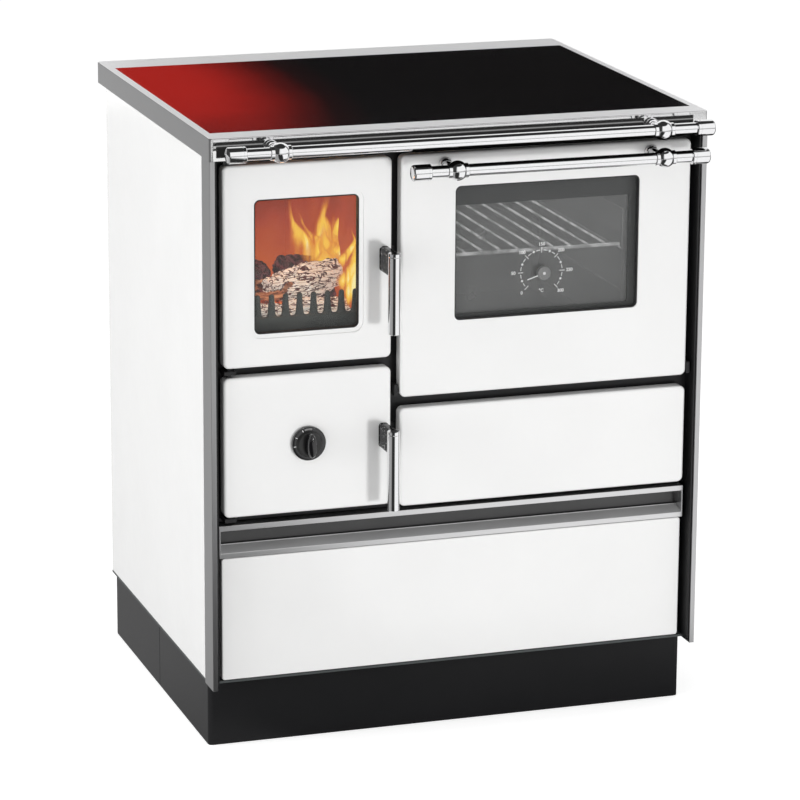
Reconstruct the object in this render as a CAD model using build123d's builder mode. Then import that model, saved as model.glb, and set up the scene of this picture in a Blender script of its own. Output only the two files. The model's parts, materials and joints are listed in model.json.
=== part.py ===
from build123d import *
import os
from math import cos, radians, sin

# A free-standing wood-fired cookstove with a glass hob, a glazed firebox, an oven and a wood drawer.
# Millimetres. X runs to the right, Y to the back, Z up. The origin is on the floor, below the
# middle of the hob.

# ---------------------------------------------------------------- driving dimensions
WIDTH = 700
DEPTH = 600
HEIGHT = 850
BODY_BACK_SETBACK = 49  # the casing's back behind the hob's rear edge
PLAY = 0.3  # between pieces that move past each other
FIT = 0.05  # radial clearance of pins, spindles and tubes in their bores

# plinth, feet and base
PLINTH_HEIGHT = 95
PLINTH_SIDE_INSET = 5
PLINTH_BEHIND_TRIM = 1
PLINTH_SHEET = 2.5
PLINTH_FLANGE = 22
PLINTH_SEAM = 0.8
PLINTH_CORNER = 7
BASE_SHEET = 3
BASE_FRONT_SETBACK = 22
FOOT_PAD_RADIUS = 18
FOOT_PAD_HEIGHT = 8
FOOT_STUD_RADIUS = 5
FOOT_NUT_RADIUS = 9
FOOT_NUT_HEIGHT = 6
FOOT_INSET = 45

# casing
CASING_SHEET = 2
CASING_FLANGE = 12
CASING_CORNER = 2
BACK_SHEET = 2
BACK_PLAY = 1
TRIM_WIDTH = 7
TRIM_DEPTH = 40
TRIM_SHEET = 1.5
TRIM_DROP = 6  # the trims end this far below the side panels
TRIM_TO_PANEL = 0.6
FRAME_SHEET = 4
FRAME_SETBACK = 34  # the black front frame behind the trims' front
FRAME_LEG = 3
FRAME_LEG_FRONT = 3
FRAME_LEG_DEPTH = 71

# hob
HOB_FRAME_HEIGHT = 30
HOB_RIM_SIDE = 11
HOB_RIM_FRONT = 38
HOB_RIM_REAR = 60
HOB_SKIN = 2.5
HOB_LEDGE = 9
HOB_CORNER = 5
HOB_EDGE = 1.2
HOB_GLASS = 6
HOB_GLASS_PLAY = 0.5
HOB_GLASS_CORNER = 3
HOB_SEAL = 2
HOB_SEAL_WIDTH = 7

# rail and handle
BAR_RADIUS = 8
BAR_WALL = 1.5
BALL_RADIUS = 13.5
COLLAR_RADIUS = 9.6
COLLAR_LENGTH = 29
NECK_RADIUS = 6
ROSE_RADIUS = 9
ROSE_LENGTH = 7
CAP_RADIUS = 11
CAP_LENGTH = 26
CAP_WALL = 4
CAP_ROUND = 4
STUD_RADIUS = 3
BAR_STANDOFF = 44  # the bars' centre line in front of the trims
RAIL_END_INSET = 10  # from the casing's sides
RAIL_POST_FROM_SIDE = 83
RAIL_HEIGHT_IN_FRAME = 16
HANDLE_OVERHANG = 3.5  # past the oven door's edges
HANDLE_POST_FROM_EDGE = 60.25
HANDLE_BELOW_DOOR_TOP = 13

# front layout
DOOR_SETBACK = 8
SIDE_GAP = 12.5
HOB_GAP = 9
COLUMN_GAP = 13
LEFT_COLUMN = 233.5
ASH_DOOR_ABOVE_BAY = 8.5
ASH_DOOR_HEIGHT = 192.5
LEFT_ROW_GAP = 13
COVER_ABOVE_BAY = 3.5
COVER_HEIGHT = 137.5
RIGHT_ROW_GAP = 15.5

# doors
DOOR_DEPTH = 18
DOOR_WALL = 5
DOOR_CORNER = 8
DOOR_ROLL = 4
INNER_FRAME = 4
INNER_FRAME_INSET = 1.5
WINDOW_GLASS = 4
WINDOW_CORNER = 8
WINDOW_BORDER = 6
WINDOW_BORDER_DEPTH = 1.6
GLASS_OVERLAP = 8
GASKET = 2
GASKET_WIDTH = 6
ROPE_WIDTH = 9
ROPE_FROM_MOUTH = 3
HINGE_INSET = 9.5
HINGE_BEHIND_FACE = 10
PIN_RADIUS = 3
PIN_INTO_DOOR = 7
BRACKET = 5
BRACKET_PLAY = 2
BRACKET_WIDTH = 16
BRACKET_FRONT = 8  # in front of the pin's axis
OVEN_PIN_RADIUS = 4
OVEN_HINGE_RISE = 9.5
OVEN_HINGE_BEHIND_FACE = 12

# fire door window, and the mouths behind the left doors
FIRE_WINDOW_WIDTH = 145
FIRE_WINDOW_FROM_LEFT = 43
FIRE_WINDOW_FROM_TOP = 47.5
FIRE_WINDOW_FROM_BOTTOM = 44.5
LEFT_MOUTH_INSET_LEFT = 27.5
LEFT_MOUTH_INSET_RIGHT = 28
FIRE_MOUTH_FROM_TOP = 16
FIRE_MOUTH_FROM_BOTTOM = 23
ASH_MOUTH_FROM_TOP = 16
ASH_MOUTH_FROM_BOTTOM = 16

# levers
LEVER_FROM_EDGE = 10.5
LEVER_GRIP_RADIUS = 8.5
LEVER_GRIP_LENGTH = 111
LEVER_GRIP_CHAMFER = 0.8
LEVER_GRIP_OUT = 43  # grip's centre line in front of the door's face
LEVER_BOSS_WIDTH = 14
LEVER_BOSS_HEIGHT = 34
LEVER_BOSS_ROUND = 5
LEVER_BOSS_INTO_GRIP = 4
FIRE_LEVER_BELOW_MIDDLE = 0.5
ASH_LEVER_FROM_TOP = 94
SPINDLE_RADIUS = 4
TONGUE_HUB_RADIUS = 5
TONGUE_LENGTH = 18.5
TONGUE_HEIGHT = 8
TONGUE = 3.2
KEEPER_WIDTH = 8
KEEPER_HEIGHT = 6
KEEPER_DEPTH = 6
KEEPER_PLAY = 0.8
KEEPER_FROM_DOOR = 2

# air control on the ash door
KNOB_SKIRT_RADIUS = 23.5
KNOB_SKIRT = 6
KNOB_CHAMFER = 1.5
KNOB_CONE_RADIUS = 18.5
KNOB_CONE_TOP_RADIUS = 16
KNOB_CONE = 4
KNOB_GRIP_WIDTH = 14
KNOB_GRIP_LENGTH = 34
KNOB_GRIP = 14
AIR_DISC_RADIUS = 45
AIR_DISC = 2
AIR_HOLE_RADIUS = 10
AIR_HOLE_CIRCLE = 28
AIR_HOLES = 4
AIR_SLOT_LENGTH = 100
AIR_SLOT_WIDTH = 6

# oven door and thermometer
OVEN_WINDOW_FROM_LEFT = 76
OVEN_WINDOW_FROM_RIGHT = 74.5
OVEN_WINDOW_FROM_TOP = 45.5
OVEN_WINDOW_FROM_BOTTOM = 101.5
INNER_WINDOW_LEFT = 4  # the inner window's margins inside the outer one
INNER_WINDOW_RIGHT = 8
INNER_WINDOW_BOTTOM = 4
INNER_WINDOW_TOP = 30.5
INNER_WINDOW_CORNER = 4
INNER_GLASS_OVERLAP = 10
CLIP_WIDTH = 12
CLIP_SHEET = 2.5
CLIP_HOOK = 5
THERMOMETER_RISE = 54  # above the outer window's lower edge
BUSH_RADIUS = 4
BUSH_FLANGE_RADIUS = 7
BUSH_FLANGE = 2
BUSH_TAIL = 6
POINTER_SPINDLE_RADIUS = 1.5
POINTER_HUB_RADIUS = 9.5
POINTER_HUB = 6
POINTER_HUB_BEHIND_GLASS = 1.2
POINTER_LENGTH = 25
POINTER_WIDTH = 1.6
POINTER_SHEET = 1
POINTER_REST_ANGLE = 198  # from the +X direction, anticlockwise as seen from the front

# clean-out panel and hatch
COVER_STUD_RADIUS = 3
COVER_BOSS_RADIUS = 5
COVER_STUD_LENGTH = 11.5
COVER_STUD_INSET = 16
COVER_STUD_PLAY = 0.1
PORT_WIDTH = 200
PORT_HEIGHT = 86
HATCH_SHEET = 3
HATCH_OVERLAP = 12
HATCH_CORNER = 6
HATCH_NUT_RADIUS = 8
HATCH_NUT = 6

# firebox
FIREBOX_SHEET = 3
BRICK = 20
BACK_BRICK = 30
BRICK_JOINT = 0.5
BRICK_TOP_GAP = 33
FIREBOX_DEPTH = 375
FIREBOX_FLOOR = 12
FIREBOX_TOP_GAP = 5
FLOOR_LEDGE = 10
FLOOR_LEDGE_HEIGHT = 6
FLOOR_PLAY = 0.5
SMOKE_NOTCH_DEPTH = 55
SMOKE_NOTCH_LENGTH = 300
SMOKE_NOTCH_FROM_FRONT = 6
GRATE_WIDTH = 100
GRATE_LENGTH = 220
GRATE_SEAT = 6
GRATE_THICKNESS = 8
GRATE_SLOT = 8
GRATE_BAR = 8
GRATE_BORDER = 14
GUARD = 8
GUARD_BEHIND_FRAME = 4
GUARD_BASE = 35
GUARD_TOOTH = 31
GUARD_TOOTH_BASE = 12
GUARD_TOOTH_TIP = 8
GUARD_PITCH = 19.5
GUARD_TEETH = 9
GUARD_PLAY = 2
ASH_PAN_PLAY = 7
ASH_PAN_HEIGHT = 76
ASH_PAN_LENGTH = 350
ASH_PAN_SHEET = 1.5
ASH_PAN_FROM_FRAME = 14
ASH_SHELF_UNDER_MOUTH = 3

# oven
OVEN_CAVITY_DEPTH = 412
OVEN_LEFT_IN_DOOR = 44  # from the door's left edge to the cavity
OVEN_RIGHT_IN_DOOR = 64.5
OVEN_BOTTOM_IN_DOOR = 25.5
OVEN_TOP_IN_DOOR = 26
OVEN_SHEET = 2.5
OVEN_FLANGE = 12
RACK_SIDE_PLAY = 2
RACK_FRONT = 60  # from the mouth to the front bar
RACK_LENGTH = 330
RACK_WIRE_RADIUS = 1.6
RACK_BAR_RADIUS = 2.4
RACK_PITCH = 25.5
RACK_WIRE_MARGIN = 12
RACK_WELD = 0.5
RACK_LEVEL = 2
LADDER_WIRE_RADIUS = 2.5
LADDER_LEVELS = 4
LADDER_FIRST = 24
LADDER_BELOW_TOP = 82
LADDER_POST_INSET = 40
DUCT_SHEET = 2
DUCT_RIGHT = 34
DUCT_UNDER_PORT = 12
DUCT_BEHIND_OVEN = 60

# flue collar
FLUE_RADIUS = 59.5
FLUE_WALL = 2
FLUE_FROM_RIGHT = 200
FLUE_BELOW_HOB = 160
FLUE_FLANGE_RADIUS = 78
FLUE_FLANGE = 3
FLUE_HOLE_PLAY = 0.5
FLUE_INSIDE = 10

# wood drawer
DRAWER_SETBACK = 18
DRAWER_SIDE_GAP = 8
DRAWER_BOTTOM_GAP = 2
DRAWER_FRONT_HEIGHT = 172
DRAWER_CORNER = 4
DRAWER_ROLL = 2
GRIP_HEIGHT = 45.5
GRIP_DEPTH = 28
GRIP_STRIP_UPPER = 7.5
GRIP_STRIP_LOWER = 7
GRIP_WALL = 2
GRIP_RAMP_DEPTH = 20
GRIP_RAMP_RISE = 7
GRIP_END_GAP = 5
GRIP_END_CAP = 2
GRIP_JOINT = 0.5
BAY_SHEET = 3
BAY_ABOVE_GRIP = 2
BOX_SHEET = 1.5
BOX_SIDE_GAP = 14
BOX_UNDER = 8
BOX_BELOW_GRIP = 10
BOX_LENGTH = 430
RUNNER = 8
RUNNER_HEIGHT = 15.4
RUNNER_Z = 186
RAIL_SHEET = 2
RAIL_FLANGE = 12
RAIL_LENGTH = 450
RAIL_FROM_FRONT = 10

# ---------------------------------------------------------------- derived places
FRONT = -DEPTH / 2
REAR = DEPTH / 2
SIDE = WIDTH / 2
BODY_REAR = REAR - BODY_BACK_SETBACK
BODY_TOP = HEIGHT - HOB_FRAME_HEIGHT
BODY_BOTTOM = PLINTH_HEIGHT + BASE_SHEET
INSIDE = SIDE - TRIM_WIDTH - FRAME_LEG  # inner face of the front frame's legs

FACE = FRONT + DOOR_SETBACK
WALL_REAR = FACE + DOOR_WALL
DOOR_REAR = FACE + DOOR_DEPTH
FRAME_FACE = FRONT + FRAME_SETBACK
FRAME_REAR = FRAME_FACE + FRAME_SHEET
PANEL_FRONT = FRONT + TRIM_DEPTH + TRIM_TO_PANEL
LEG_REAR = FRONT + FRAME_LEG_FRONT + FRAME_LEG_DEPTH
PLATE = (DOOR_REAR, DOOR_REAR + INNER_FRAME)
ROPE = (PLATE[1], FRAME_FACE - PLAY)
HINGE_Y = FACE + HINGE_BEHIND_FACE
OVEN_HINGE_Y = FACE + OVEN_HINGE_BEHIND_FACE

left_x = (-SIDE + TRIM_WIDTH + SIDE_GAP, -SIDE + TRIM_WIDTH + SIDE_GAP + LEFT_COLUMN)
right_x = (left_x[1] + COLUMN_GAP, SIDE - TRIM_WIDTH - SIDE_GAP)
door_top = BODY_TOP - HOB_GAP

drawer_z = (BODY_BOTTOM + DRAWER_BOTTOM_GAP, BODY_BOTTOM + DRAWER_BOTTOM_GAP + DRAWER_FRONT_HEIGHT)
drawer_y = (FRONT + DRAWER_SETBACK, FRONT + DRAWER_SETBACK + DOOR_DEPTH)
drawer_x = (-INSIDE + DRAWER_SIDE_GAP, INSIDE - DRAWER_SIDE_GAP)
grip_z = (drawer_z[1] + GRIP_JOINT, drawer_z[1] + GRIP_JOINT + GRIP_HEIGHT)
bay_z = (grip_z[1] + BAY_ABOVE_GRIP, grip_z[1] + BAY_ABOVE_GRIP + BAY_SHEET)

ash_z = (bay_z[1] + ASH_DOOR_ABOVE_BAY, bay_z[1] + ASH_DOOR_ABOVE_BAY + ASH_DOOR_HEIGHT)
fire_z = (ash_z[1] + LEFT_ROW_GAP, door_top)
cover_z = (bay_z[1] + COVER_ABOVE_BAY, bay_z[1] + COVER_ABOVE_BAY + COVER_HEIGHT)
oven_z = (cover_z[1] + RIGHT_ROW_GAP, door_top)
oven_hinge_z = oven_z[0] + OVEN_HINGE_RISE

mouth_x = (left_x[0] + LEFT_MOUTH_INSET_LEFT, left_x[1] - LEFT_MOUTH_INSET_RIGHT)
fire_window_x = (left_x[0] + FIRE_WINDOW_FROM_LEFT, left_x[0] + FIRE_WINDOW_FROM_LEFT + FIRE_WINDOW_WIDTH)
fire_window_z = (fire_z[0] + FIRE_WINDOW_FROM_BOTTOM, door_top - FIRE_WINDOW_FROM_TOP)
fire_mouth_z = (fire_z[0] + FIRE_MOUTH_FROM_BOTTOM, door_top - FIRE_MOUTH_FROM_TOP)
hearth = fire_mouth_z[0]  # top of the firebox floor
ash_mouth_z = (ash_z[0] + ASH_MOUTH_FROM_BOTTOM, ash_z[1] - ASH_MOUTH_FROM_TOP)
ash_shelf = ash_mouth_z[0] - ASH_SHELF_UNDER_MOUTH
lever_x = left_x[1] - LEVER_FROM_EDGE
lever_z = ((fire_z[0] + fire_z[1]) / 2 - FIRE_LEVER_BELOW_MIDDLE, ash_z[1] - ASH_LEVER_FROM_TOP)
knob_x = (left_x[0] + left_x[1]) / 2
knob_z = (ash_z[0] + ash_z[1]) / 2

oven_x = (right_x[0] + OVEN_LEFT_IN_DOOR, right_x[1] - OVEN_RIGHT_IN_DOOR)
oven_y = (FRAME_REAR, FRAME_REAR + OVEN_CAVITY_DEPTH)
cavity_z = (oven_z[0] + OVEN_BOTTOM_IN_DOOR, door_top - OVEN_TOP_IN_DOOR)
oven_window_x = (right_x[0] + OVEN_WINDOW_FROM_LEFT, right_x[1] - OVEN_WINDOW_FROM_RIGHT)
oven_window_z = (oven_z[0] + OVEN_WINDOW_FROM_BOTTOM, door_top - OVEN_WINDOW_FROM_TOP)
inner_window_x = (oven_window_x[0] + INNER_WINDOW_LEFT, oven_window_x[1] - INNER_WINDOW_RIGHT)
inner_window_z = (oven_window_z[0] + INNER_WINDOW_BOTTOM, oven_window_z[1] - INNER_WINDOW_TOP)
dial_x = (oven_window_x[0] + oven_window_x[1]) / 2
dial_z = oven_window_z[0] + THERMOMETER_RISE

port_x = (-PORT_WIDTH / 2 + (right_x[0] + right_x[1]) / 2, PORT_WIDTH / 2 + (right_x[0] + right_x[1]) / 2)
port_z = (-PORT_HEIGHT / 2 + (cover_z[0] + cover_z[1]) / 2, PORT_HEIGHT / 2 + (cover_z[0] + cover_z[1]) / 2)

casing_x = (mouth_x[0] - BRICK - BRICK_JOINT, mouth_x[1] + BRICK + BRICK_JOINT)  # inner faces
casing_y = (FRAME_REAR, FRAME_REAR + FIREBOX_DEPTH + BACK_BRICK + BRICK_JOINT)
casing_top = BODY_TOP - FIREBOX_TOP_GAP
duct_x = (casing_x[1] + FIREBOX_SHEET, oven_x[1] + OVEN_SHEET + DUCT_RIGHT)
duct_y = (FRAME_REAR, oven_y[1] + OVEN_SHEET + DUCT_BEHIND_OVEN)
duct_z = (port_z[0] - DUCT_UNDER_PORT, casing_top)
ladder_pitch = (cavity_z[1] - LADDER_BELOW_TOP - cavity_z[0] - LADDER_FIRST) / (LADDER_LEVELS - 1)
ladder_level = cavity_z[0] + LADDER_FIRST + RACK_LEVEL * ladder_pitch
rack_z = ladder_level + LADDER_WIRE_RADIUS + RACK_BAR_RADIUS + FIT
rack_y = (oven_y[0] + RACK_FRONT, oven_y[0] + RACK_FRONT + RACK_LENGTH)

flue_x = SIDE - FLUE_FROM_RIGHT
flue_z = HEIGHT - FLUE_BELOW_HOB
flue_y = (duct_y[1] - FLUE_INSIDE, -(FRONT - BAR_STANDOFF - BALL_RADIUS))


# ---------------------------------------------------------------- shapes used by many pieces
def inset(span, margin):
    """The span with a margin taken off both ends (a negative margin widens it)."""
    return (span[0] + margin, span[1] - margin)


def middle(span):
    return (span[0] + span[1]) / 2


def inner_outline(x, z):
    """The outline of the plate behind a door's panel."""
    return inset(x, INNER_FRAME_INSET), inset(z, INNER_FRAME_INSET)


def block(x, y, z, mode=Mode.ADD):
    """A box between two values along each axis."""
    with Locations((middle(x), middle(y), middle(z))):
        Box(x[1] - x[0], y[1] - y[0], z[1] - z[0], mode=mode)


def rod(start, direction, radius, length, mode=Mode.ADD):
    """A round bar that runs from its start along a direction."""
    with Locations(Plane(origin=start, z_dir=direction)):
        Cylinder(radius, length, align=(Align.CENTER, Align.CENTER, Align.MIN), mode=mode)


def plate(x, z, y, corner=0.0, mode=Mode.ADD):
    """A plate that faces the front, with rounded corners, between two depths."""
    with BuildSketch(Plane.XZ.offset(-y[1])) as outline:
        with Locations((middle(x), middle(z))):
            if corner > 0:
                RectangleRounded(x[1] - x[0], z[1] - z[0], corner)
            else:
                Rectangle(x[1] - x[0], z[1] - z[0])
    extrude(outline.sketch, amount=y[1] - y[0], mode=mode)


def disc(x, z, y, radius, mode=Mode.ADD):
    """A round plate that faces the front, between two depths."""
    rod((x, y[0], z), (0, 1, 0), radius, y[1] - y[0], mode)


def finished(piece, name):
    """Labels a piece and writes it to its own file."""
    piece.part.label = name
    export_step(piece.part, f"parts/{name}.step")


def panel_shell(x, z, face, corner, roll):
    """An enamelled pan, open at the back: front wall, side walls and a rolled front edge."""
    with BuildPart() as shell:
        plate(x, z, (face, face + DOOR_DEPTH), corner)
        fillet(shell.faces().sort_by(Axis.Y)[0].edges(), roll)
        inner_corner = max(corner - DOOR_WALL, 0)
        hollow = (face + DOOR_WALL, face + DOOR_DEPTH)
        plate(inset(x, DOOR_WALL), inset(z, DOOR_WALL), hollow, inner_corner, Mode.SUBTRACT)
    return shell.part


def ring_plate(x, z, y, width, corner, outside=0):
    """A flat ring that faces the front: outer size, depth and width."""
    with BuildPart() as ring:
        plate(inset(x, -outside), inset(z, -outside), y, corner)
        plate(inset(x, width - outside), inset(z, width - outside), y, max(corner - width, 0), Mode.SUBTRACT)
    return ring.part


os.makedirs("parts", exist_ok=True)

# ---------------------------------------------------------------- plinth, feet and base
plinth_x = (-SIDE + PLINTH_SIDE_INSET, SIDE - PLINTH_SIDE_INSET)
plinth_y = (FRONT + TRIM_DEPTH + PLINTH_BEHIND_TRIM, BODY_REAR)


def plinth_half(kept_y):
    """One U of the plinth, cut from the full ring at the side seams."""
    with BuildPart() as half:
        block(plinth_x, plinth_y, (0, PLINTH_HEIGHT))
        fillet(half.edges().filter_by(Axis.Z), PLINTH_CORNER)
        under_flange = (0, PLINTH_HEIGHT - PLINTH_SHEET)
        block(inset(plinth_x, PLINTH_SHEET), inset(plinth_y, PLINTH_SHEET), under_flange, Mode.SUBTRACT)
        opening_y = inset(plinth_y, PLINTH_FLANGE)
        block(inset(plinth_x, PLINTH_FLANGE), opening_y, (0, PLINTH_HEIGHT), Mode.SUBTRACT)
        block(plinth_x, kept_y, (0, PLINTH_HEIGHT), Mode.INTERSECT)
    return half.part


with BuildPart() as plinth_front:
    add(plinth_half((plinth_y[0], -PLINTH_SEAM / 2)))
finished(plinth_front, "plinth_front")

with BuildPart() as plinth_rear:
    add(plinth_half((PLINTH_SEAM / 2, plinth_y[1])))
finished(plinth_rear, "plinth_rear")

foot_x = inset(plinth_x, FOOT_INSET)
foot_y = inset(plinth_y, FOOT_INSET)
with BuildPart() as levelling_feet:
    for x in foot_x:
        for y in foot_y:
            rod((x, y, 0), (0, 0, 1), FOOT_PAD_RADIUS, FOOT_PAD_HEIGHT)
            rod((x, y, FOOT_PAD_HEIGHT), (0, 0, 1), FOOT_STUD_RADIUS, PLINTH_HEIGHT - FOOT_PAD_HEIGHT)
            rod((x, y, PLINTH_HEIGHT - FOOT_NUT_HEIGHT), (0, 0, 1), FOOT_NUT_RADIUS, FOOT_NUT_HEIGHT)
finished(levelling_feet, "levelling_feet")

with BuildPart() as base_plate:
    block((-SIDE, SIDE), (PANEL_FRONT, BODY_REAR), (PLINTH_HEIGHT, BODY_BOTTOM))
    trim_inner = SIDE - TRIM_WIDTH - PLAY
    front_strip_y = (FRONT + BASE_FRONT_SETBACK, PANEL_FRONT)
    block((-trim_inner, trim_inner), front_strip_y, (PLINTH_HEIGHT, BODY_BOTTOM))
finished(base_plate, "base_plate")

# ---------------------------------------------------------------- casing
casing_z = (BODY_BOTTOM, BODY_TOP)


def side_panel(outer_x):
    """A side panel, bent inwards along its front and rear edges."""
    toward = -1 if outer_x > 0 else 1
    inner_x = outer_x + toward * CASING_SHEET
    leg_x = outer_x + toward * TRIM_WIDTH
    flange_x = outer_x + toward * CASING_FLANGE
    with BuildPart() as panel:
        block(sorted((outer_x, inner_x)), (PANEL_FRONT, BODY_REAR), casing_z)
        block(sorted((outer_x, leg_x)), (PANEL_FRONT, PANEL_FRONT + CASING_SHEET), casing_z)
        block(sorted((outer_x, flange_x)), (BODY_REAR - CASING_SHEET, BODY_REAR), casing_z)
        outer_edges = panel.edges().filter_by(Axis.Z).group_by(Axis.X)[0 if outer_x < 0 else -1]
        fillet(outer_edges.sort_by(Axis.Y)[-1], CASING_CORNER)
    return panel.part


with BuildPart() as side_panel_left:
    add(side_panel(-SIDE))
finished(side_panel_left, "side_panel_left")

with BuildPart() as side_panel_right:
    add(side_panel(SIDE))
finished(side_panel_right, "side_panel_right")

with BuildPart() as corner_trims:
    for trim_x in ((-SIDE, -SIDE + TRIM_WIDTH), (SIDE - TRIM_WIDTH, SIDE)):
        block(trim_x, (FRONT, FRONT + TRIM_DEPTH), (BODY_BOTTOM - TRIM_DROP, BODY_TOP))
        hollow_y = (FRONT + TRIM_SHEET, FRONT + TRIM_DEPTH)
        block(inset(trim_x, TRIM_SHEET), hollow_y, (BODY_BOTTOM - TRIM_DROP, BODY_TOP), Mode.SUBTRACT)
finished(corner_trims, "corner_trims")

back_y = (BODY_REAR - CASING_SHEET - BACK_SHEET, BODY_REAR - CASING_SHEET)
with BuildPart() as back_panel:
    plate(inset((-SIDE, SIDE), CASING_SHEET + BACK_PLAY), casing_z, back_y)
    disc(flue_x, flue_z, back_y, FLUE_RADIUS + FLUE_HOLE_PLAY, Mode.SUBTRACT)
finished(back_panel, "back_panel")

with BuildPart() as front_frame:
    plate((-INSIDE, INSIDE), (bay_z[0], BODY_TOP), (FRAME_FACE, FRAME_REAR))
    for leg_x in ((-INSIDE - FRAME_LEG, -INSIDE), (INSIDE, INSIDE + FRAME_LEG)):
        block(leg_x, (FRONT + FRAME_LEG_FRONT, LEG_REAR), (BODY_BOTTOM, BODY_TOP))
    for mouth in ((mouth_x, fire_mouth_z), (mouth_x, ash_mouth_z), (oven_x, cavity_z), (port_x, port_z)):
        plate(mouth[0], mouth[1], (FRAME_FACE, FRAME_REAR), mode=Mode.SUBTRACT)
    for x in inset(right_x, COVER_STUD_INSET):
        for z in inset(cover_z, COVER_STUD_INSET):
            disc(x, z, (FRAME_FACE, FRAME_REAR), COVER_STUD_RADIUS + COVER_STUD_PLAY, Mode.SUBTRACT)
finished(front_frame, "front_frame")

with BuildPart() as bay_floor:
    block((-INSIDE, INSIDE), (FRAME_REAR, back_y[0]), bay_z)
    block(inset((-SIDE, SIDE), CASING_SHEET), (LEG_REAR, back_y[0]), bay_z)
finished(bay_floor, "bay_floor")

# ---------------------------------------------------------------- hob
hob_x = (-SIDE, SIDE)
hob_y = (FRONT, REAR)
opening_x = inset(hob_x, HOB_RIM_SIDE)
opening_y = (FRONT + HOB_RIM_FRONT, REAR - HOB_RIM_REAR)
glass_z = (HEIGHT - HOB_GLASS, HEIGHT)
seal_z = (glass_z[0] - HOB_SEAL, glass_z[0])
ledge_z = (seal_z[0] - HOB_SKIN, seal_z[0])
rail_z = BODY_TOP + RAIL_HEIGHT_IN_FRAME
bar_y = FRONT - BAR_STANDOFF
rail_x = inset(hob_x, RAIL_END_INSET)
rail_posts = inset(hob_x, RAIL_POST_FROM_SIDE)


with BuildPart() as hob_frame:
    block(hob_x, hob_y, (BODY_TOP, HEIGHT))
    fillet(hob_frame.edges().filter_by(Axis.Z), HOB_CORNER)
    fillet(hob_frame.faces().sort_by(Axis.Z)[-1].edges(), HOB_EDGE)
    block(inset(hob_x, HOB_SKIN), inset(hob_y, HOB_SKIN), (BODY_TOP, HEIGHT - HOB_SKIN), Mode.SUBTRACT)
    block(inset(opening_x, -HOB_SKIN), inset(opening_y, -HOB_SKIN), (ledge_z[0], HEIGHT - HOB_SKIN))
    block(opening_x, opening_y, (ledge_z[1], HEIGHT), Mode.SUBTRACT)
    block(inset(opening_x, HOB_LEDGE), inset(opening_y, HOB_LEDGE), (ledge_z[0], HEIGHT), Mode.SUBTRACT)
    for x in rail_posts:
        disc(x, rail_z, (FRONT, FRONT + HOB_SKIN), STUD_RADIUS + FIT, Mode.SUBTRACT)
finished(hob_frame, "hob_frame")

with BuildPart() as hob_glass:
    block(inset(opening_x, HOB_GLASS_PLAY), inset(opening_y, HOB_GLASS_PLAY), glass_z)
    fillet(hob_glass.edges().filter_by(Axis.Z), HOB_GLASS_CORNER)
finished(hob_glass, "hob_glass")

with BuildPart() as hob_seal:
    block(inset(opening_x, HOB_GLASS_PLAY), inset(opening_y, HOB_GLASS_PLAY), seal_z)
    fillet(hob_seal.edges().filter_by(Axis.Z), HOB_GLASS_CORNER)
    inner = HOB_GLASS_PLAY + HOB_SEAL_WIDTH
    block(inset(opening_x, inner), inset(opening_y, inner), seal_z, Mode.SUBTRACT)
finished(hob_seal, "hob_seal")


# ---------------------------------------------------------------- rail and handle
def bar_tube(x, z):
    """The tube of a rail, held at both ends inside its caps."""
    with BuildPart() as tube:
        start = x[0] + CAP_WALL
        length = x[1] - x[0] - 2 * CAP_WALL
        rod((start, bar_y, z), (1, 0, 0), BAR_RADIUS, length)
        rod((start, bar_y, z), (1, 0, 0), BAR_RADIUS - BAR_WALL, length, Mode.SUBTRACT)
    return tube.part


def bar_fittings(x, z, post_x, face, wall):
    """Two ball posts with their roses and studs, and the two end caps of a rail."""
    with BuildPart() as fittings:
        for post in post_x:
            with Locations((post, bar_y, z)):
                Sphere(BALL_RADIUS)
            rod((post - COLLAR_LENGTH / 2, bar_y, z), (1, 0, 0), COLLAR_RADIUS, COLLAR_LENGTH)
            rod((post, bar_y, z), (0, 1, 0), NECK_RADIUS, face - bar_y)
            rod((post, face - ROSE_LENGTH, z), (0, 1, 0), ROSE_RADIUS, ROSE_LENGTH)
            rod((post, face, z), (0, 1, 0), STUD_RADIUS, wall)
            bore_start = (post - COLLAR_LENGTH, bar_y, z)
            rod(bore_start, (1, 0, 0), BAR_RADIUS + FIT, 2 * COLLAR_LENGTH, Mode.SUBTRACT)
        for end, inward in ((x[0], 1), (x[1], -1)):
            rod((end, bar_y, z), (inward, 0, 0), CAP_RADIUS, CAP_LENGTH)
        for place in (0, -1):
            rim = fittings.faces().filter_by(Axis.X).sort_by(Axis.X)[place].edges()
            fillet(rim, CAP_ROUND)
        for end, inward in ((x[0], 1), (x[1], -1)):
            bore_start = (end + inward * CAP_WALL, bar_y, z)
            rod(bore_start, (inward, 0, 0), BAR_RADIUS + FIT, CAP_LENGTH, Mode.SUBTRACT)
    return fittings.part


with BuildPart() as hob_rail_tube:
    add(bar_tube(rail_x, rail_z))
finished(hob_rail_tube, "hob_rail_tube")

with BuildPart() as hob_rail_fittings:
    add(bar_fittings(rail_x, rail_z, rail_posts, FRONT, HOB_SKIN))
finished(hob_rail_fittings, "hob_rail_fittings")

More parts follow.
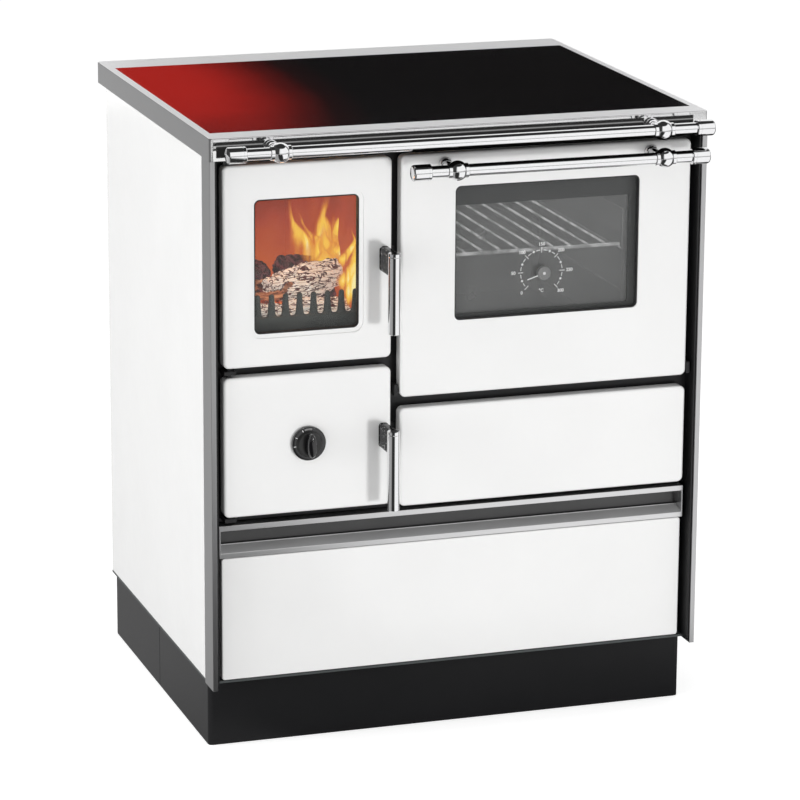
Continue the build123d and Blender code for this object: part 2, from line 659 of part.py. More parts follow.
# ---------------------------------------------------------------- firebox
with BuildPart() as firebox_casing:
    outer_z = (bay_z[1], casing_top)
    block(inset(casing_x, -FIREBOX_SHEET), (casing_y[0], casing_y[1] + FIREBOX_SHEET), outer_z)
    block(casing_x, casing_y, outer_z, Mode.SUBTRACT)
    block(casing_x, casing_y, (ash_shelf - FIREBOX_SHEET, ash_shelf))
    ledge_top = hearth - FIREBOX_FLOOR
    for ledge_x in ((casing_x[0], casing_x[0] + FLOOR_LEDGE), (casing_x[1] - FLOOR_LEDGE, casing_x[1])):
        block(ledge_x, casing_y, (ledge_top - FLOOR_LEDGE_HEIGHT, ledge_top))
    notch_start = casing_y[0] + SMOKE_NOTCH_FROM_FRONT
    notch_y = (notch_start, notch_start + SMOKE_NOTCH_LENGTH)
    notch_x = (casing_x[1], casing_x[1] + FIREBOX_SHEET)
    block(notch_x, notch_y, (casing_top - SMOKE_NOTCH_DEPTH, casing_top), Mode.SUBTRACT)
finished(firebox_casing, "firebox_casing")

grate_x = (middle(mouth_x) - GRATE_WIDTH / 2, middle(mouth_x) + GRATE_WIDTH / 2)
grate_middle = casing_y[0] + FIREBOX_DEPTH / 2
grate_y = (grate_middle - GRATE_LENGTH / 2, grate_middle + GRATE_LENGTH / 2)
grate_z = (hearth - GRATE_THICKNESS, hearth)
with BuildPart() as firebox_floor:
    floor_z = (hearth - FIREBOX_FLOOR, hearth)
    block(inset(casing_x, FLOOR_PLAY), inset(casing_y, FLOOR_PLAY), floor_z)
    block(inset(grate_x, -FLOOR_PLAY), inset(grate_y, -FLOOR_PLAY), grate_z, Mode.SUBTRACT)
    block(inset(grate_x, GRATE_SEAT), inset(grate_y, GRATE_SEAT), floor_z, Mode.SUBTRACT)
finished(firebox_floor, "firebox_floor")

with BuildPart() as fire_grate:
    block(grate_x, grate_y, grate_z)
    slot_space = GRATE_LENGTH - 2 * GRATE_BORDER + GRATE_BAR
    slots = int(slot_space // (GRATE_SLOT + GRATE_BAR))
    with GridLocations(0, GRATE_SLOT + GRATE_BAR, 1, slots):
        with Locations((middle(grate_x), middle(grate_y), middle(grate_z))):
            Box(GRATE_WIDTH - 2 * GRATE_BORDER, GRATE_SLOT, GRATE_THICKNESS, mode=Mode.SUBTRACT)
finished(fire_grate, "fire_grate")

with BuildPart() as firebricks:
    brick_z = (hearth, casing_top - BRICK_TOP_GAP)
    side_y = (casing_y[0], casing_y[0] + FIREBOX_DEPTH)
    cuts = (side_y[0], middle(side_y), side_y[1])
    for brick_y in ((cuts[0], cuts[1] - BRICK_JOINT), (cuts[1], cuts[2] - BRICK_JOINT)):
        block((casing_x[0] + BRICK_JOINT, mouth_x[0]), brick_y, brick_z)
        block((mouth_x[1], casing_x[1] - BRICK_JOINT), brick_y, brick_z)
    back_brick_y = (side_y[1], casing_y[1] - BRICK_JOINT)
    for brick_x in ((casing_x[0], middle(casing_x)), (middle(casing_x), casing_x[1])):
        block(inset(brick_x, BRICK_JOINT), back_brick_y, brick_z)
finished(firebricks, "firebricks")

guard_x = inset(mouth_x, GUARD_PLAY)
guard_y = (FRAME_REAR + GUARD_BEHIND_FRAME, FRAME_REAR + GUARD_BEHIND_FRAME + GUARD)
with BuildPart() as log_guard:
    with BuildSketch(Plane.XZ.offset(-guard_y[1])) as guard_outline:
        with Locations((middle(guard_x), hearth + GUARD_BASE / 2)):
            Rectangle(guard_x[1] - guard_x[0], GUARD_BASE)
        root_z = hearth + GUARD_BASE - FLOOR_PLAY
        tip_z = hearth + GUARD_BASE + GUARD_TOOTH
        for index in range(GUARD_TEETH):
            tooth_x = middle(guard_x) + (index - (GUARD_TEETH - 1) / 2) * GUARD_PITCH
            with BuildLine():
                Polyline(
                    (tooth_x - GUARD_TOOTH_BASE / 2, root_z),
                    (tooth_x + GUARD_TOOTH_BASE / 2, root_z),
                    (tooth_x + GUARD_TOOTH_TIP / 2, tip_z),
                    (tooth_x - GUARD_TOOTH_TIP / 2, tip_z),
                    close=True,
                )
            make_face()
    extrude(amount=GUARD)
finished(log_guard, "log_guard")

pan_x = inset(mouth_x, ASH_PAN_PLAY)
pan_y = (FRAME_FACE + ASH_PAN_FROM_FRAME, FRAME_FACE + ASH_PAN_FROM_FRAME + ASH_PAN_LENGTH)
pan_z = (ash_shelf, ash_shelf + ASH_PAN_HEIGHT)
with BuildPart() as ash_pan:
    block(pan_x, pan_y, pan_z)
    hollow_z = (pan_z[0] + ASH_PAN_SHEET, pan_z[1])
    block(inset(pan_x, ASH_PAN_SHEET), inset(pan_y, ASH_PAN_SHEET), hollow_z, Mode.SUBTRACT)
finished(ash_pan, "ash_pan")

# ---------------------------------------------------------------- oven and smoke ways
with BuildPart() as oven_box:
    shell_z = inset(cavity_z, -OVEN_SHEET)
    block(inset(oven_x, -OVEN_SHEET), (oven_y[0], oven_y[1] + OVEN_SHEET), shell_z)
    block(inset(oven_x, -OVEN_FLANGE), (oven_y[0], oven_y[0] + OVEN_SHEET), inset(cavity_z, -OVEN_FLANGE))
    block(oven_x, oven_y, cavity_z, Mode.SUBTRACT)
finished(oven_box, "oven_box")

with BuildPart() as smoke_duct:
    block(duct_x, duct_y, (duct_z[0] - DUCT_SHEET, duct_z[0]))
    block((duct_x[1], duct_x[1] + DUCT_SHEET), duct_y, (duct_z[0] - DUCT_SHEET, duct_z[1]))
    full_x = (duct_x[0], duct_x[1] + DUCT_SHEET)
    block(full_x, (duct_y[1], duct_y[1] + DUCT_SHEET), (duct_z[0] - DUCT_SHEET, duct_z[1]))
    short_y = (casing_y[1] + FIREBOX_SHEET, duct_y[1])
    block((duct_x[0], duct_x[0] + DUCT_SHEET), short_y, (duct_z[0], duct_z[1]))
    baffle_y = (oven_y[1] + OVEN_SHEET, duct_y[1])
    block(duct_x, baffle_y, (cavity_z[1], cavity_z[1] + OVEN_SHEET))
    disc(flue_x, flue_z, (duct_y[1], duct_y[1] + DUCT_SHEET), FLUE_RADIUS + FLUE_HOLE_PLAY, Mode.SUBTRACT)
finished(smoke_duct, "smoke_duct")

with BuildPart() as flue_collar:
    disc(flue_x, flue_z, flue_y, FLUE_RADIUS)
    disc(flue_x, flue_z, (back_y[1], back_y[1] + FLUE_FLANGE), FLUE_FLANGE_RADIUS)
    disc(flue_x, flue_z, flue_y, FLUE_RADIUS - FLUE_WALL, Mode.SUBTRACT)
finished(flue_collar, "flue_collar")

with BuildPart() as cleanout_hatch:
    hatch_y = (FRAME_FACE - HATCH_SHEET, FRAME_FACE)
    plate(inset(port_x, -HATCH_OVERLAP), inset(port_z, -HATCH_OVERLAP), hatch_y, HATCH_CORNER)
    disc(middle(port_x), middle(port_z), (hatch_y[0] - HATCH_NUT, hatch_y[0]), HATCH_NUT_RADIUS)
finished(cleanout_hatch, "cleanout_hatch")

with BuildPart() as rack_runners:
    wire_off = LADDER_WIRE_RADIUS + PLAY
    for wire_x in inset(oven_x, wire_off):
        for level in range(LADDER_LEVELS):
            level_z = cavity_z[0] + LADDER_FIRST + level * ladder_pitch
            ladder_y = inset(oven_y, LADDER_POST_INSET)
            rod((wire_x, ladder_y[0], level_z), (0, 1, 0), LADDER_WIRE_RADIUS, ladder_y[1] - ladder_y[0])
        post_height = LADDER_FIRST + ladder_pitch * (LADDER_LEVELS - 1) + LADDER_WIRE_RADIUS
        for post_y in inset(oven_y, LADDER_POST_INSET + LADDER_WIRE_RADIUS):
            rod((wire_x, post_y, cavity_z[0]), (0, 0, 1), LADDER_WIRE_RADIUS, post_height)
finished(rack_runners, "rack_runners")

rack_x = inset(oven_x, RACK_SIDE_PLAY)
with BuildPart() as oven_rack:
    for bar_place in rack_y:
        rod((rack_x[0], bar_place, rack_z), (1, 0, 0), RACK_BAR_RADIUS, rack_x[1] - rack_x[0])
    wires = int((rack_x[1] - rack_x[0] - 2 * RACK_WIRE_MARGIN) // RACK_PITCH) + 1
    wire_rise = rack_z + RACK_BAR_RADIUS + RACK_WIRE_RADIUS - RACK_WELD
    for index in range(wires):
        wire_x = middle(rack_x) + (index - (wires - 1) / 2) * RACK_PITCH
        wire_length = RACK_LENGTH + 2 * RACK_BAR_RADIUS
        rod((wire_x, rack_y[0] - RACK_BAR_RADIUS, wire_rise), (0, 1, 0), RACK_WIRE_RADIUS, wire_length)
finished(oven_rack, "oven_rack")

# ---------------------------------------------------------------- fixed door hardware
tabs_z = (
    (fire_z[1] + BRACKET_PLAY, fire_z[1] + BRACKET_PLAY + BRACKET),
    (ash_z[1] + (LEFT_ROW_GAP - BRACKET) / 2, ash_z[1] + (LEFT_ROW_GAP + BRACKET) / 2),
    (ash_z[0] - BRACKET_PLAY - BRACKET, ash_z[0] - BRACKET_PLAY),
)
tabs_x = (
    (right_x[0] - BRACKET_PLAY - BRACKET, right_x[0] - BRACKET_PLAY),
    (right_x[1] + BRACKET_PLAY, right_x[1] + BRACKET_PLAY + BRACKET),
)
hinge_x = left_x[0] + HINGE_INSET
with BuildPart() as door_hardware:
    for tab_z in tabs_z:
        tab_x = (hinge_x - BRACKET_WIDTH / 2, hinge_x + BRACKET_WIDTH / 2)
        block(tab_x, (HINGE_Y - BRACKET_FRONT, FRAME_FACE), tab_z)
        rod((hinge_x, HINGE_Y, tab_z[0]), (0, 0, 1), PIN_RADIUS + FIT, BRACKET, Mode.SUBTRACT)
    for tab_x in tabs_x:
        tab_z = (oven_hinge_z - BRACKET_WIDTH / 2, oven_hinge_z + BRACKET_WIDTH / 2)
        block(tab_x, (OVEN_HINGE_Y - BRACKET_FRONT, FRAME_FACE), tab_z)
        rod((tab_x[0], OVEN_HINGE_Y, oven_hinge_z), (1, 0, 0), OVEN_PIN_RADIUS + FIT, BRACKET, Mode.SUBTRACT)
    for pivot_z in lever_z:
        keeper_x = (left_x[1] + KEEPER_FROM_DOOR, left_x[1] + KEEPER_FROM_DOOR + KEEPER_WIDTH)
        keeper_low = pivot_z + TONGUE_HEIGHT / 2 + KEEPER_PLAY
        block(keeper_x, (FRAME_FACE - KEEPER_DEPTH, FRAME_FACE), (keeper_low, keeper_low + KEEPER_HEIGHT))
finished(door_hardware, "door_hardware")

# ---------------------------------------------------------------- fire door
glass_x = inset(fire_window_x, -GLASS_OVERLAP)
glass_span_z = inset(fire_window_z, -GLASS_OVERLAP)
glass_y = (WALL_REAR, WALL_REAR + WINDOW_GLASS)
gasket_y = (glass_y[1], glass_y[1] + GASKET)


def side_pins(low, high):
    """Hinge pins of a side-hung door, each between two heights."""
    with BuildPart() as pins:
        for span in (low, high):
            rod((hinge_x, HINGE_Y, span[0]), (0, 0, 1), PIN_RADIUS, span[1] - span[0])
    return pins.part


def cut_pin_holes(z):
    """Holes for the hinge pins in the top and bottom walls of a door panel."""
    for start in (z[0], z[1] - PIN_INTO_DOOR):
        rod((hinge_x, HINGE_Y, start), (0, 0, 1), PIN_RADIUS + FIT, PIN_INTO_DOOR, Mode.SUBTRACT)


fire_shell = panel_shell(left_x, fire_z, FACE, DOOR_CORNER, DOOR_ROLL)
with BuildPart() as fire_door_panel:
    add(fire_shell)
    plate(fire_window_x, fire_window_z, (FACE, WALL_REAR), WINDOW_CORNER, Mode.SUBTRACT)
    border_x = inset(fire_window_x, -WINDOW_BORDER)
    border_z = inset(fire_window_z, -WINDOW_BORDER)
    border_y = (FACE, FACE + WINDOW_BORDER_DEPTH)
    plate(border_x, border_z, border_y, WINDOW_CORNER + WINDOW_BORDER, Mode.SUBTRACT)
    cut_pin_holes(fire_z)
    disc(lever_x, lever_z[0], (FACE, WALL_REAR), SPINDLE_RADIUS + FIT, Mode.SUBTRACT)
finished(fire_door_panel, "fire_door_panel")

with BuildPart() as fire_door_glass:
    plate(glass_x, glass_span_z, glass_y, WINDOW_CORNER)
finished(fire_door_glass, "fire_door_glass")

with BuildPart() as fire_door_gasket:
    add(ring_plate(glass_x, glass_span_z, gasket_y, GASKET_WIDTH, WINDOW_CORNER))
finished(fire_door_gasket, "fire_door_gasket")

fire_collar = ring_plate(glass_x, glass_span_z, (gasket_y[1], PLATE[0]), GASKET_WIDTH, WINDOW_CORNER)
with BuildPart() as fire_door_inner_frame:
    plate(*inner_outline(left_x, fire_z), PLATE, DOOR_CORNER - INNER_FRAME_INSET)
    inner_x = inset(glass_x, GASKET_WIDTH)
    inner_z = inset(glass_span_z, GASKET_WIDTH)
    plate(inner_x, inner_z, PLATE, WINDOW_CORNER - GASKET_WIDTH, Mode.SUBTRACT)
    add(fire_collar)
    disc(lever_x, lever_z[0], PLATE, SPINDLE_RADIUS + FIT, Mode.SUBTRACT)
finished(fire_door_inner_frame, "fire_door_inner_frame")

with BuildPart() as fire_door_rope:
    rope_outside = ROPE_FROM_MOUTH + ROPE_WIDTH
    add(ring_plate(mouth_x, fire_mouth_z, ROPE, ROPE_WIDTH, rope_outside, rope_outside))
finished(fire_door_rope, "fire_door_rope")

pin_meeting = middle(tabs_z[1])
with BuildPart() as fire_door_pins:
    low_pin = (pin_meeting + PLAY, fire_z[0] + PIN_INTO_DOOR)
    high_pin = (fire_z[1] - PIN_INTO_DOOR, tabs_z[0][1])
    add(side_pins(low_pin, high_pin))
finished(fire_door_pins, "fire_door_pins")


def lever_grip(pivot_z):
    """The chrome grip of a lever: a round bar that hangs from the boss."""
    with BuildPart() as grip:
        top = pivot_z + LEVER_BOSS_HEIGHT / 2
        grip_y = FACE - LEVER_GRIP_OUT
        rod((lever_x, grip_y, top - LEVER_GRIP_LENGTH), (0, 0, 1), LEVER_GRIP_RADIUS, LEVER_GRIP_LENGTH)
        chamfer(grip.edges().filter_by(GeomType.CIRCLE), LEVER_GRIP_CHAMFER)
    return grip.part


def lever_latch(pivot_z):
    """The boss in front of a door, its spindle through the door and the tongue behind it."""
    with BuildPart() as latch:
        boss_y = (FACE - LEVER_GRIP_OUT + LEVER_GRIP_RADIUS - LEVER_BOSS_INTO_GRIP, FACE - PLAY)
        boss_x = (lever_x - LEVER_BOSS_WIDTH / 2, lever_x + LEVER_BOSS_WIDTH / 2)
        boss_z = (pivot_z - LEVER_BOSS_HEIGHT / 2, pivot_z + LEVER_BOSS_HEIGHT / 2)
        plate(boss_x, boss_z, boss_y, LEVER_BOSS_ROUND)
        grip_start = (lever_x, FACE - LEVER_GRIP_OUT, boss_z[0])
        rod(grip_start, (0, 0, 1), LEVER_GRIP_RADIUS, LEVER_BOSS_HEIGHT, Mode.SUBTRACT)
        tongue_y = (FRAME_FACE - PLAY - TONGUE, FRAME_FACE - PLAY)
        disc(lever_x, pivot_z, (FACE - PLAY, tongue_y[1]), SPINDLE_RADIUS)
        disc(lever_x, pivot_z, tongue_y, TONGUE_HUB_RADIUS)
        tongue_z = (pivot_z - TONGUE_HEIGHT / 2, pivot_z + TONGUE_HEIGHT / 2)
        plate((lever_x, lever_x + TONGUE_LENGTH), tongue_z, tongue_y)
    return latch.part


with BuildPart() as fire_lever_grip:
    add(lever_grip(lever_z[0]))
finished(fire_lever_grip, "fire_lever_grip")

with BuildPart() as fire_lever_latch:
    add(lever_latch(lever_z[0]))
finished(fire_lever_latch, "fire_lever_latch")

# ---------------------------------------------------------------- ash door and air control
air_angles = [360 / AIR_HOLES * step + 180 / AIR_HOLES for step in range(AIR_HOLES)]
air_places = []
for angle in air_angles:
    turn = radians(angle)
    air_places.append((knob_x + AIR_HOLE_CIRCLE * cos(turn), knob_z + AIR_HOLE_CIRCLE * sin(turn)))

ash_shell = panel_shell(left_x, ash_z, FACE, DOOR_CORNER, DOOR_ROLL)
with BuildPart() as ash_door_panel:
    add(ash_shell)
    cut_pin_holes(ash_z)
    disc(lever_x, lever_z[1], (FACE, WALL_REAR), SPINDLE_RADIUS + FIT, Mode.SUBTRACT)
    disc(knob_x, knob_z, (FACE, WALL_REAR), SPINDLE_RADIUS + FIT, Mode.SUBTRACT)
    slot_x = (knob_x - AIR_SLOT_LENGTH / 2, knob_x + AIR_SLOT_LENGTH / 2)
    slot_y = (HINGE_Y - AIR_SLOT_WIDTH / 2, HINGE_Y + AIR_SLOT_WIDTH / 2)
    block(slot_x, slot_y, (ash_z[0], ash_z[0] + DOOR_WALL), Mode.SUBTRACT)
finished(ash_door_panel, "ash_door_panel")

with BuildPart() as ash_door_inner_plate:
    plate(*inner_outline(left_x, ash_z), PLATE, DOOR_CORNER - INNER_FRAME_INSET)
    disc(lever_x, lever_z[1], PLATE, SPINDLE_RADIUS + FIT, Mode.SUBTRACT)
    disc(knob_x, knob_z, PLATE, SPINDLE_RADIUS + FIT, Mode.SUBTRACT)
    for place in air_places:
        disc(place[0], place[1], PLATE, AIR_HOLE_RADIUS, Mode.SUBTRACT)
finished(ash_door_inner_plate, "ash_door_inner_plate")

with BuildPart() as ash_door_rope:
    add(ring_plate(mouth_x, ash_mouth_z, ROPE, ROPE_WIDTH, rope_outside, rope_outside))
finished(ash_door_rope, "ash_door_rope")

with BuildPart() as ash_door_pins:
    low_pin = (tabs_z[2][0], ash_z[0] + PIN_INTO_DOOR)
    high_pin = (ash_z[1] - PIN_INTO_DOOR, pin_meeting - PLAY)
    add(side_pins(low_pin, high_pin))
finished(ash_door_pins, "ash_door_pins")

with BuildPart() as ash_lever_grip:
    add(lever_grip(lever_z[1]))
finished(ash_lever_grip, "ash_lever_grip")

with BuildPart() as ash_lever_latch:
    add(lever_latch(lever_z[1]))
finished(ash_lever_latch, "ash_lever_latch")

disc_y = (PLATE[1] + PLAY, PLATE[1] + PLAY + AIR_DISC)
with BuildPart() as air_knob:
    skirt_y = (FACE - PLAY - KNOB_SKIRT, FACE - PLAY)
    disc(knob_x, knob_z, skirt_y, KNOB_SKIRT_RADIUS)
    chamfer(air_knob.faces().sort_by(Axis.Y)[0].edges(), KNOB_CHAMFER)
    with Locations(Plane(origin=(knob_x, skirt_y[0], knob_z), z_dir=(0, -1, 0))):
        Cone(KNOB_CONE_RADIUS, KNOB_CONE_TOP_RADIUS, KNOB_CONE, align=(Align.CENTER, Align.CENTER, Align.MIN))
    grip_y = (skirt_y[0] - KNOB_CONE - KNOB_GRIP, skirt_y[0])
    half_width = KNOB_GRIP_WIDTH / 2
    half_length = KNOB_GRIP_LENGTH / 2
    knob_grip_x = (knob_x - half_width, knob_x + half_width)
    knob_grip_z = (knob_z - half_length, knob_z + half_length)
    plate(knob_grip_x, knob_grip_z, grip_y, half_width - PLAY)
    disc(knob_x, knob_z, (skirt_y[1], disc_y[1]), SPINDLE_RADIUS)
finished(air_knob, "air_knob")

with BuildPart() as air_disc:
    disc(knob_x, knob_z, disc_y, AIR_DISC_RADIUS)
    disc(knob_x, knob_z, disc_y, SPINDLE_RADIUS + FIT, Mode.SUBTRACT)
    for place in air_places:
        disc(place[0], place[1], disc_y, AIR_HOLE_RADIUS, Mode.SUBTRACT)
finished(air_disc, "air_disc")

# ---------------------------------------------------------------- oven door
handle_z = door_top - HANDLE_BELOW_DOOR_TOP
handle_x = inset(right_x, -HANDLE_OVERHANG)
handle_posts = inset(right_x, HANDLE_POST_FROM_EDGE)
oven_glass_x = inset(oven_window_x, -GLASS_OVERLAP)
oven_glass_z = inset(oven_window_z, -GLASS_OVERLAP)

oven_shell = panel_shell(right_x, oven_z, FACE, DOOR_CORNER, DOOR_ROLL)
with BuildPart() as oven_door_panel:
    add(oven_shell)
    plate(oven_window_x, oven_window_z, (FACE, WALL_REAR), WINDOW_CORNER, Mode.SUBTRACT)
    for start_x in (right_x[0], right_x[1] - PIN_INTO_DOOR):
        pin_start = (start_x, OVEN_HINGE_Y, oven_hinge_z)
        rod(pin_start, (1, 0, 0), OVEN_PIN_RADIUS + FIT, PIN_INTO_DOOR, Mode.SUBTRACT)
    for x in handle_posts:
        disc(x, handle_z, (FACE, WALL_REAR), STUD_RADIUS + FIT, Mode.SUBTRACT)
finished(oven_door_panel, "oven_door_panel")

with BuildPart() as oven_door_glass:
    plate(oven_glass_x, oven_glass_z, glass_y, WINDOW_CORNER)
finished(oven_door_glass, "oven_door_glass")

oven_collar = ring_plate(oven_glass_x, oven_glass_z, (glass_y[1], PLATE[0]), GASKET_WIDTH, WINDOW_CORNER)
inner_glass_x = inset(inner_window_x, -INNER_GLASS_OVERLAP)
inner_glass_z = inset(inner_window_z, -INNER_GLASS_OVERLAP)
inner_glass_y = (PLATE[1], PLATE[1] + WINDOW_GLASS)
with BuildPart() as oven_door_inner_frame:
    plate(*inner_outline(right_x, oven_z), PLATE, DOOR_CORNER - INNER_FRAME_INSET)
    plate(inner_window_x, inner_window_z, PLATE, INNER_WINDOW_CORNER, Mode.SUBTRACT)
    add(oven_collar)
    clip_rear = inner_glass_y[1] + PLAY + CLIP_SHEET
    clip_z = (middle(inner_glass_z) - CLIP_WIDTH / 2, middle(inner_glass_z) + CLIP_WIDTH / 2)
    for edge, inward in ((inner_glass_x[0] - PLAY, 1), (inner_glass_x[1] + PLAY, -1)):
        leg = sorted((edge, edge - inward * CLIP_SHEET))
        hook = sorted((edge - inward * CLIP_SHEET, edge + inward * CLIP_HOOK))
        block(leg, (PLATE[1], clip_rear), clip_z)
        block(hook, (inner_glass_y[1] + PLAY, clip_rear), clip_z)
finished(oven_door_inner_frame, "oven_door_inner_frame")

with BuildPart() as oven_door_inner_glass:
    plate(inner_glass_x, inner_glass_z, inner_glass_y, INNER_WINDOW_CORNER)
    disc(dial_x, dial_z, inner_glass_y, BUSH_RADIUS + FIT, Mode.SUBTRACT)
finished(oven_door_inner_glass, "oven_door_inner_glass")

with BuildPart() as oven_door_rope:
    add(ring_plate(oven_x, cavity_z, ROPE, ROPE_WIDTH, rope_outside, rope_outside))
finished(oven_door_rope, "oven_door_rope")

with BuildPart() as oven_door_pins:
    pin_length = PIN_INTO_DOOR + BRACKET_PLAY + BRACKET
    rod((tabs_x[0][0], OVEN_HINGE_Y, oven_hinge_z), (1, 0, 0), OVEN_PIN_RADIUS, pin_length)
    rod((tabs_x[1][1], OVEN_HINGE_Y, oven_hinge_z), (-1, 0, 0), OVEN_PIN_RADIUS, pin_length)
finished(oven_door_pins, "oven_door_pins")

with BuildPart() as oven_handle_tube:
    add(bar_tube(handle_x, handle_z))
finished(oven_handle_tube, "oven_handle_tube")

with BuildPart() as oven_handle_fittings:
    add(bar_fittings(handle_x, handle_z, handle_posts, FACE, DOOR_WALL))
finished(oven_handle_fittings, "oven_handle_fittings")

bush_y = (inner_glass_y[0] - BUSH_FLANGE, inner_glass_y[1] + BUSH_TAIL)
with BuildPart() as thermometer_bush:
    disc(dial_x, dial_z, bush_y, BUSH_RADIUS)
    disc(dial_x, dial_z, (bush_y[0], inner_glass_y[0]), BUSH_FLANGE_RADIUS)
    disc(dial_x, dial_z, bush_y, POINTER_SPINDLE_RADIUS + FIT, Mode.SUBTRACT)
finished(thermometer_bush, "thermometer_bush")

with BuildPart() as thermometer_pointer:
    hub_y = (glass_y[1] + POINTER_HUB_BEHIND_GLASS, glass_y[1] + POINTER_HUB_BEHIND_GLASS + POINTER_HUB)
    disc(dial_x, dial_z, hub_y, POINTER_HUB_RADIUS)
    disc(dial_x, dial_z, (hub_y[1], bush_y[1]), POINTER_SPINDLE_RADIUS)
    pointer_plane = Plane(
        origin=(dial_x, hub_y[0], dial_z),
        x_dir=(cos(radians(POINTER_REST_ANGLE)), 0, sin(radians(POINTER_REST_ANGLE))),
        z_dir=(0, 1, 0),
    )
    with Locations(pointer_plane):
        needle_align = (Align.MIN, Align.CENTER, Align.MIN)
        Box(POINTER_LENGTH, POINTER_WIDTH, POINTER_SHEET, align=needle_align)
finished(thermometer_pointer, "thermometer_pointer")

# ---------------------------------------------------------------- clean-out panel
cover_shell = panel_shell(right_x, cover_z, FACE, DOOR_CORNER, DOOR_ROLL)
with BuildPart() as cleanout_panel:
    add(cover_shell)
    for x in inset(right_x, COVER_STUD_INSET):
        for z in inset(cover_z, COVER_STUD_INSET):
            disc(x, z, (WALL_REAR, DOOR_REAR), COVER_BOSS_RADIUS)
            disc(x, z, (WALL_REAR, DOOR_REAR + COVER_STUD_LENGTH), COVER_STUD_RADIUS)
finished(cleanout_panel, "cleanout_panel")

# ---------------------------------------------------------------- wood drawer
with BuildPart() as drawer_front:
    add(panel_shell(drawer_x, drawer_z, drawer_y[0], DRAWER_CORNER, DRAWER_ROLL))
finished(drawer_front, "drawer_front")

grip_x = (-INSIDE + GRIP_END_GAP, INSIDE - GRIP_END_GAP)
grip_y = (drawer_y[0], drawer_y[0] + GRIP_DEPTH)
profile_x = inset(grip_x, GRIP_END_CAP)
with BuildPart() as drawer_grip:
    with BuildSketch(Plane.YZ.offset(profile_x[0])) as grip_profile:
        with BuildLine():
            lip_y = grip_y[0] + GRIP_RAMP_DEPTH
            lip_z = grip_z[0] + GRIP_STRIP_LOWER + GRIP_RAMP_RISE
            Polyline(
                (grip_y[0], grip_z[1] - GRIP_STRIP_UPPER),
                (grip_y[0], grip_z[1]),
                (grip_y[1], grip_z[1]),
                (grip_y[1], grip_z[0]),
                (grip_y[0], grip_z[0]),
                (grip_y[0], grip_z[0] + GRIP_STRIP_LOWER),
                (lip_y, lip_z),
                (lip_y, lip_z - GRIP_WALL),
                (grip_y[0] + GRIP_WALL, grip_z[0] + GRIP_STRIP_LOWER - GRIP_WALL),
                (grip_y[0] + GRIP_WALL, grip_z[0] + GRIP_WALL),
                (grip_y[1] - GRIP_WALL, grip_z[0] + GRIP_WALL),
                (grip_y[1] - GRIP_WALL, grip_z[1] - GRIP_WALL),
                (grip_y[0] + GRIP_WALL, grip_z[1] - GRIP_WALL),
                (grip_y[0] + GRIP_WALL, grip_z[1] - GRIP_STRIP_UPPER),
                close=True,
            )
        make_face()
    extrude(amount=profile_x[1] - profile_x[0])
    for cap_x in ((grip_x[0], profile_x[0]), (profile_x[1], grip_x[1])):
        block(cap_x, grip_y, grip_z)
finished(drawer_grip, "drawer_grip")

box_x = inset((-INSIDE, INSIDE), BOX_SIDE_GAP)
box_y = (drawer_y[1], drawer_y[1] + BOX_LENGTH)
box_z = (drawer_z[0] + BOX_UNDER, grip_z[0] - BOX_BELOW_GRIP)
with BuildPart() as drawer_box:
    block(box_x, box_y, box_z)
    block(inset(box_x, BOX_SHEET), inset(box_y, BOX_SHEET), (box_z[0] + BOX_SHEET, box_z[1]), Mode.SUBTRACT)
finished(drawer_box, "drawer_box")

runner_z = (RUNNER_Z - RUNNER_HEIGHT / 2, RUNNER_Z + RUNNER_HEIGHT / 2)
with BuildPart() as drawer_runners:
    block((box_x[0] - RUNNER, box_x[0]), box_y, runner_z)
    block((box_x[1], box_x[1] + RUNNER), box_y, runner_z)
finished(drawer_runners, "drawer_runners")

rail_y = (FRAME_REAR + RAIL_FROM_FRONT, FRAME_REAR + RAIL_FROM_FRONT + RAIL_LENGTH)
channel_z = inset(runner_z, -PLAY - RAIL_SHEET)
with BuildPart() as drawer_rails:
    for channel_x in ((-INSIDE, -INSIDE + RAIL_FLANGE), (INSIDE - RAIL_FLANGE, INSIDE)):
        block(channel_x, rail_y, channel_z)
    hollow_x = INSIDE - RAIL_SHEET
    block((-hollow_x, hollow_x), rail_y, inset(runner_z, -PLAY), Mode.SUBTRACT)
finished(drawer_rails, "drawer_rails")
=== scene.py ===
"""Dresses the wood cookstove: enamel, steel, glass, chrome, the thermometer dial and the fire."""

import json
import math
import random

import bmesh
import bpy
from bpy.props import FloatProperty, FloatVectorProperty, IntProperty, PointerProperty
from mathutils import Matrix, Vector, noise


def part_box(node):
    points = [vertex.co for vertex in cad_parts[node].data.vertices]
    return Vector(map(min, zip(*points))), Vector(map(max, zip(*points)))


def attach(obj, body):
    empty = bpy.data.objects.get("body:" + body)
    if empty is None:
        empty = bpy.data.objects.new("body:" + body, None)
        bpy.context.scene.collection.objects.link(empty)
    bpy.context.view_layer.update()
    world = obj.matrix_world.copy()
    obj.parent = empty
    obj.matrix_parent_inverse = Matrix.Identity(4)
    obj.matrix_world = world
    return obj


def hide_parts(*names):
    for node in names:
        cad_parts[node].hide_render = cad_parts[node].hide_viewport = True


bl_info = {
    "name": "Wood Cookstove",
    "version": (1, 0, 0),
    "blender": (4, 5, 0),
    "location": "3D View > Sidebar > Cookstove",
    "description": "Finishes a wood-fired cookstove in enamel, steel, glass and chrome, with its fire lit",
    "category": "Object",
}

